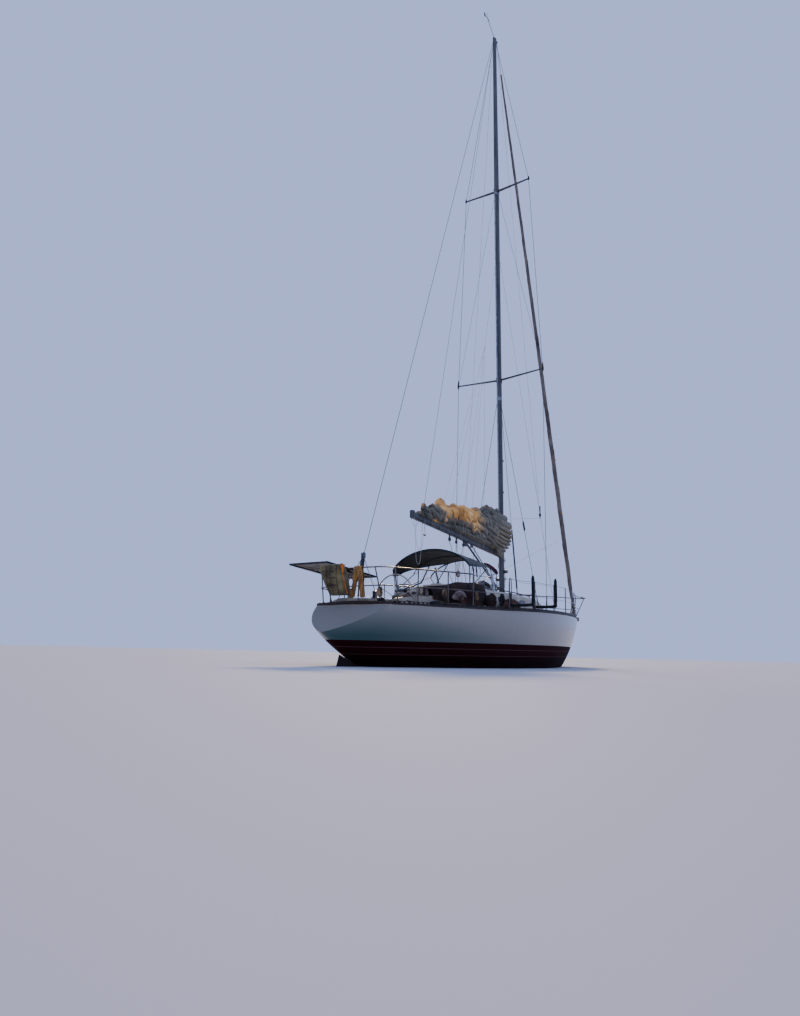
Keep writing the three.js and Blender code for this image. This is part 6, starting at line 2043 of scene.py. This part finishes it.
def makeFixedRigging():
    root, tipY, tipZ = rigForm["lowTip"]
    (fallX, fallY, _), wireSize = rigForm["fall"], rigForm["wire"]
    lines, dark = [], []
    for side, _ in bothSides:
        tip, upper = (mastAt(root), side * tipY, tipZ), (mastAt(13.30), side * 0.062, 13.30)
        lines.append(rod(tip, upper, wireSize, 6))
    for ends in rigForm["shrouds"]:
        dark += [turnbuckle(*[(x, side * y, z) for x, y, z in ends]) for side, _ in bothSides]
    cover = alongRun(*rigForm["baby"], 0.30, 0.34, 1.90, 1.94)
    dark.append(tubeShape(cover, [0.010, 0.021, 0.021, 0.010], 12))
    for side, _ in bothSides:
        low, high = [Vector((x, side * y, z)) for x, y, z in rigForm["shrouds"][1]]
        spot = (rigForm["ballZ"] - low.z) / (high - low).normalized().z
        run = alongRun(low, high, spot - 0.14, spot - 0.10, spot + 0.08, spot + 0.14)
        dark.append(tubeShape(run, [0.008, 0.024, 0.024, 0.008], 10))
    ropes = [rod((mastAt(z), y, z), rigForm["fall"], wireSize, 6)
             for y, z in ((-0.062, 11.4), (-0.060, 18.3))]
    ropes += [rod(rigForm["fall"], (1.330, -1.420, 1.360), 0.0048, 6),
              rod((mastAt(18.3), 0.060, 18.3), (1.050, 1.230, 1.370), wireSize, 6),
              rod((fallX, fallY, 3.80), (1.120, -0.35, 3.84), rigForm["thin"], 6),
              rod(rigForm["jib"], (mastAt(2.52) + 0.098, 0, 2.520), rigForm["rope"], 6)]
    ropes += [bent(points, radius, 6) for points, radius in rigForm["swags"]]
    dark += [*blockShape(rigForm["fall"], 0.045), rod((fallX, fallY, 3.80), (fallX, fallY, 4.12), 0.016, 8),
             bent(rigForm["bar"], 0.011, 8), rod((1.42, -0.45, 1.76), (1.42, -0.45, 1.86), 0.010, 8)]
    makePiece("fixedRigging", [(lines, wire), (ropes, whiteRope), (dark, nylon)])
    cover = tubeShape(rigForm["cover"], [0.010, 0.026, 0.040, 0.045, 0.036, 0.010], 12)
    tail = rod((-4.746, 0.021, 1.895), (-4.800, 0.040, deckTop(-4.8, 0.04)), 0.006, 8)
    makePiece("backstayCover", [(cover, nylon), (tail, blackRope)])


def makeMainsheet():
    blocks, wheels, straps = [], [], []
    for x, size in rigForm["sheetBlocks"]:
        centre = boomAt(x, 0.0, -boomForm["halfDepth"] - 0.055 - size)
        cheeks, wheel = blockShape(centre, size)
        blocks.append(cheeks)
        wheels.append(wheel)
        straps.append(rod(boomAt(x, 0, -0.10), centre, 0.010, 8))
    makePiece("boomBlocks", [(blocks, nylon), (wheels, alloy), (straps, stainless)], body="boom")
    aft, middle, fore = [x for x, _ in rigForm["sheetBlocks"]]
    tops = [boomAt(aft, 0, -0.19), boomAt(middle, 0, -0.17), boomAt(aft, 0.03, -0.19),
            boomAt(middle, -0.03, -0.17)]
    x, y, z = rigForm["traveller"]
    falls = [rod(top, (x + 0.03 * (number - 1.5), y, z + 0.05), rigForm["rope"], 6)
             for number, top in enumerate(tops)]
    tail = rod((x, y, z + 0.06), boomAt(fore, 0.0, -0.17), 0.0060, 6)
    sheetPiece = makePiece("mainsheetFalls", [(falls, whiteRope), (tail, tanRope)], body=None)
    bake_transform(sheetPiece)
    cheeks, wheel = blockShape(rigForm["traveller"], rigForm["travellerSize"])
    makePiece("travellerBlock", [(cheeks, tanRope), (wheel, nylon)])


# Loops of light line left hanging from the boom's end
loopForm = {
    "diameter": 0.008,
    "routes": {
        "a": [(-3.000, -0.045, 3.245), (-2.992, -0.050, 3.10), (-2.965, -0.052, 2.90), (-2.915, -0.055, 2.70),
              (-2.845, -0.056, 2.585), (-2.775, -0.056, 2.580), (-2.700, -0.055, 2.67),
              (-2.640, -0.052, 2.83), (-2.595, -0.050, 3.02), (-2.560, -0.046, 3.195)],
        "b": [(-2.800, 0.045, 3.222), (-2.796, 0.050, 3.05), (-2.790, 0.054, 2.75), (-2.775, 0.056, 2.48),
              (-2.745, 0.057, 2.33), (-2.695, 0.058, 2.255), (-2.640, 0.057, 2.262), (-2.595, 0.056, 2.36),
              (-2.570, 0.054, 2.60), (-2.556, 0.050, 2.92), (-2.548, 0.045, 3.195)],
        "c": [(-2.985, 0.047, 3.240), (-2.940, 0.052, 3.16), (-2.870, 0.054, 3.105), (-2.800, 0.054, 3.10),
              (-2.740, 0.052, 3.15), (-2.700, 0.047, 3.212)],
    },
    "eye": [(0, 0), (0, 0.012), (0.012, 0.012), (0.012, 0)],
    "ball": [(0, 0), (0.008, 0.022), (0.030, 0.034), (0.052, 0.022), (0.060, 0)],
    "ballFoot": (-2.523, 0, 2.905),
}


def pathLength(path):
    return sum((b - a).length for a, b in zip(path, path[1:]))


def makeBoomLoops():
    for name, route in loopForm["routes"].items():
        path = smoothPath(route, 5)
        loop = makePiece("boomLoop_" + name, [(tubeShape(path, loopForm["diameter"] / 2, 8), whiteRope)],
                         body="boom", angle=60)
        tuple(path[0])
        pathLength(path)
        [tuple(p) for p in path]
    ends = [route[k] for route in loopForm["routes"].values() for k in (0, -1)]
    eyes = [turned(loopForm["eye"], (x, y * 0.9, z - 0.004), sides=12) for x, y, z in ends]
    x, y, z = loopForm["ballFoot"]
    strap = rod(boomAt(x, 0, -0.07), (x, y, z + 0.055), 0.004, 6)
    ball = turned(loopForm["ball"], loopForm["ballFoot"], sides=16)
    makePiece("boomEndFittings", [(eyes, alloy), (strap, whiteRope), (ball, nylon)], body="boom")


# Legs and straps of the dodger, seen dark against the sky: route, radius, flatness, sides
legForm = [
    ([(-2.200, 0.960, 1.70), (-1.30, 0.90, 1.98), (-1.02, 0.86, 2.42)], 0.019, 1.0, 10),
    ([(-0.925, 0.750, 2.385), (-0.800, 0.752, 2.110), (-0.672, 0.754, 1.840)], 0.021, 1.0, 10),
    ([(-2.138, -1.020, 2.255), (-2.105, -1.035, 2.130), (-2.070, -1.040, 1.990)],
     [0.016, 0.027, 0.015], 0.5, 8),
    ([(-1.962, -1.020, 2.260), (-1.950, -1.035, 2.130), (-1.935, -1.040, 1.980)],
     [0.020, 0.034, 0.020], 0.5, 8),
]

makeMastGear()
makeRunningRigging()
makeFixedRigging()
makeMainsheet()
makeBoomLoops()
makeCoils()
print("rigging made")
makePiece("dodgerLegs", [([flatTube(*leg) for leg in legForm], canvas)])


# Floor and light

def makeFloor():
    reach = viewSetup["floorRadius"]
    mesh = bpy.data.meshes.new("floor")
    mesh.from_pydata([(x, y, 0) for x, y in oblong(-reach, reach, -reach, reach)], [], [(0, 1, 2, 3)])
    mesh.materials.append(startMaterial("floorPaint", "B6BAC2", 0.9)[0])
    floor = addObject("floor", mesh)


def makeLights():
    world = bpy.data.worlds.new("studio")
    world.use_nodes = True
    colour, strength = viewSetup["world"]
    background = world.node_tree.nodes["Background"]
    background.inputs["Color"].default_value = linear(colour)
    background.inputs["Strength"].default_value = strength
    bpy.context.scene.world = world
    for name, towards, strength, spread, colour in viewSetup["suns"]:
        lamp = bpy.data.lights.new(name, "SUN")
        lamp.energy = strength
        lamp.angle = math.radians(spread)
        lamp.color = linear(colour)[:3]
        thing = addObject(name, lamp)
        thing.rotation_mode = "QUATERNION"
        thing.rotation_quaternion = Vector(towards).to_track_quat("-Z", "Y")
        thing.location = (0, 0, 30)
        thing.visible_glossy = name == "backKey"


makeFloor()
makeLights()
print("stage made")
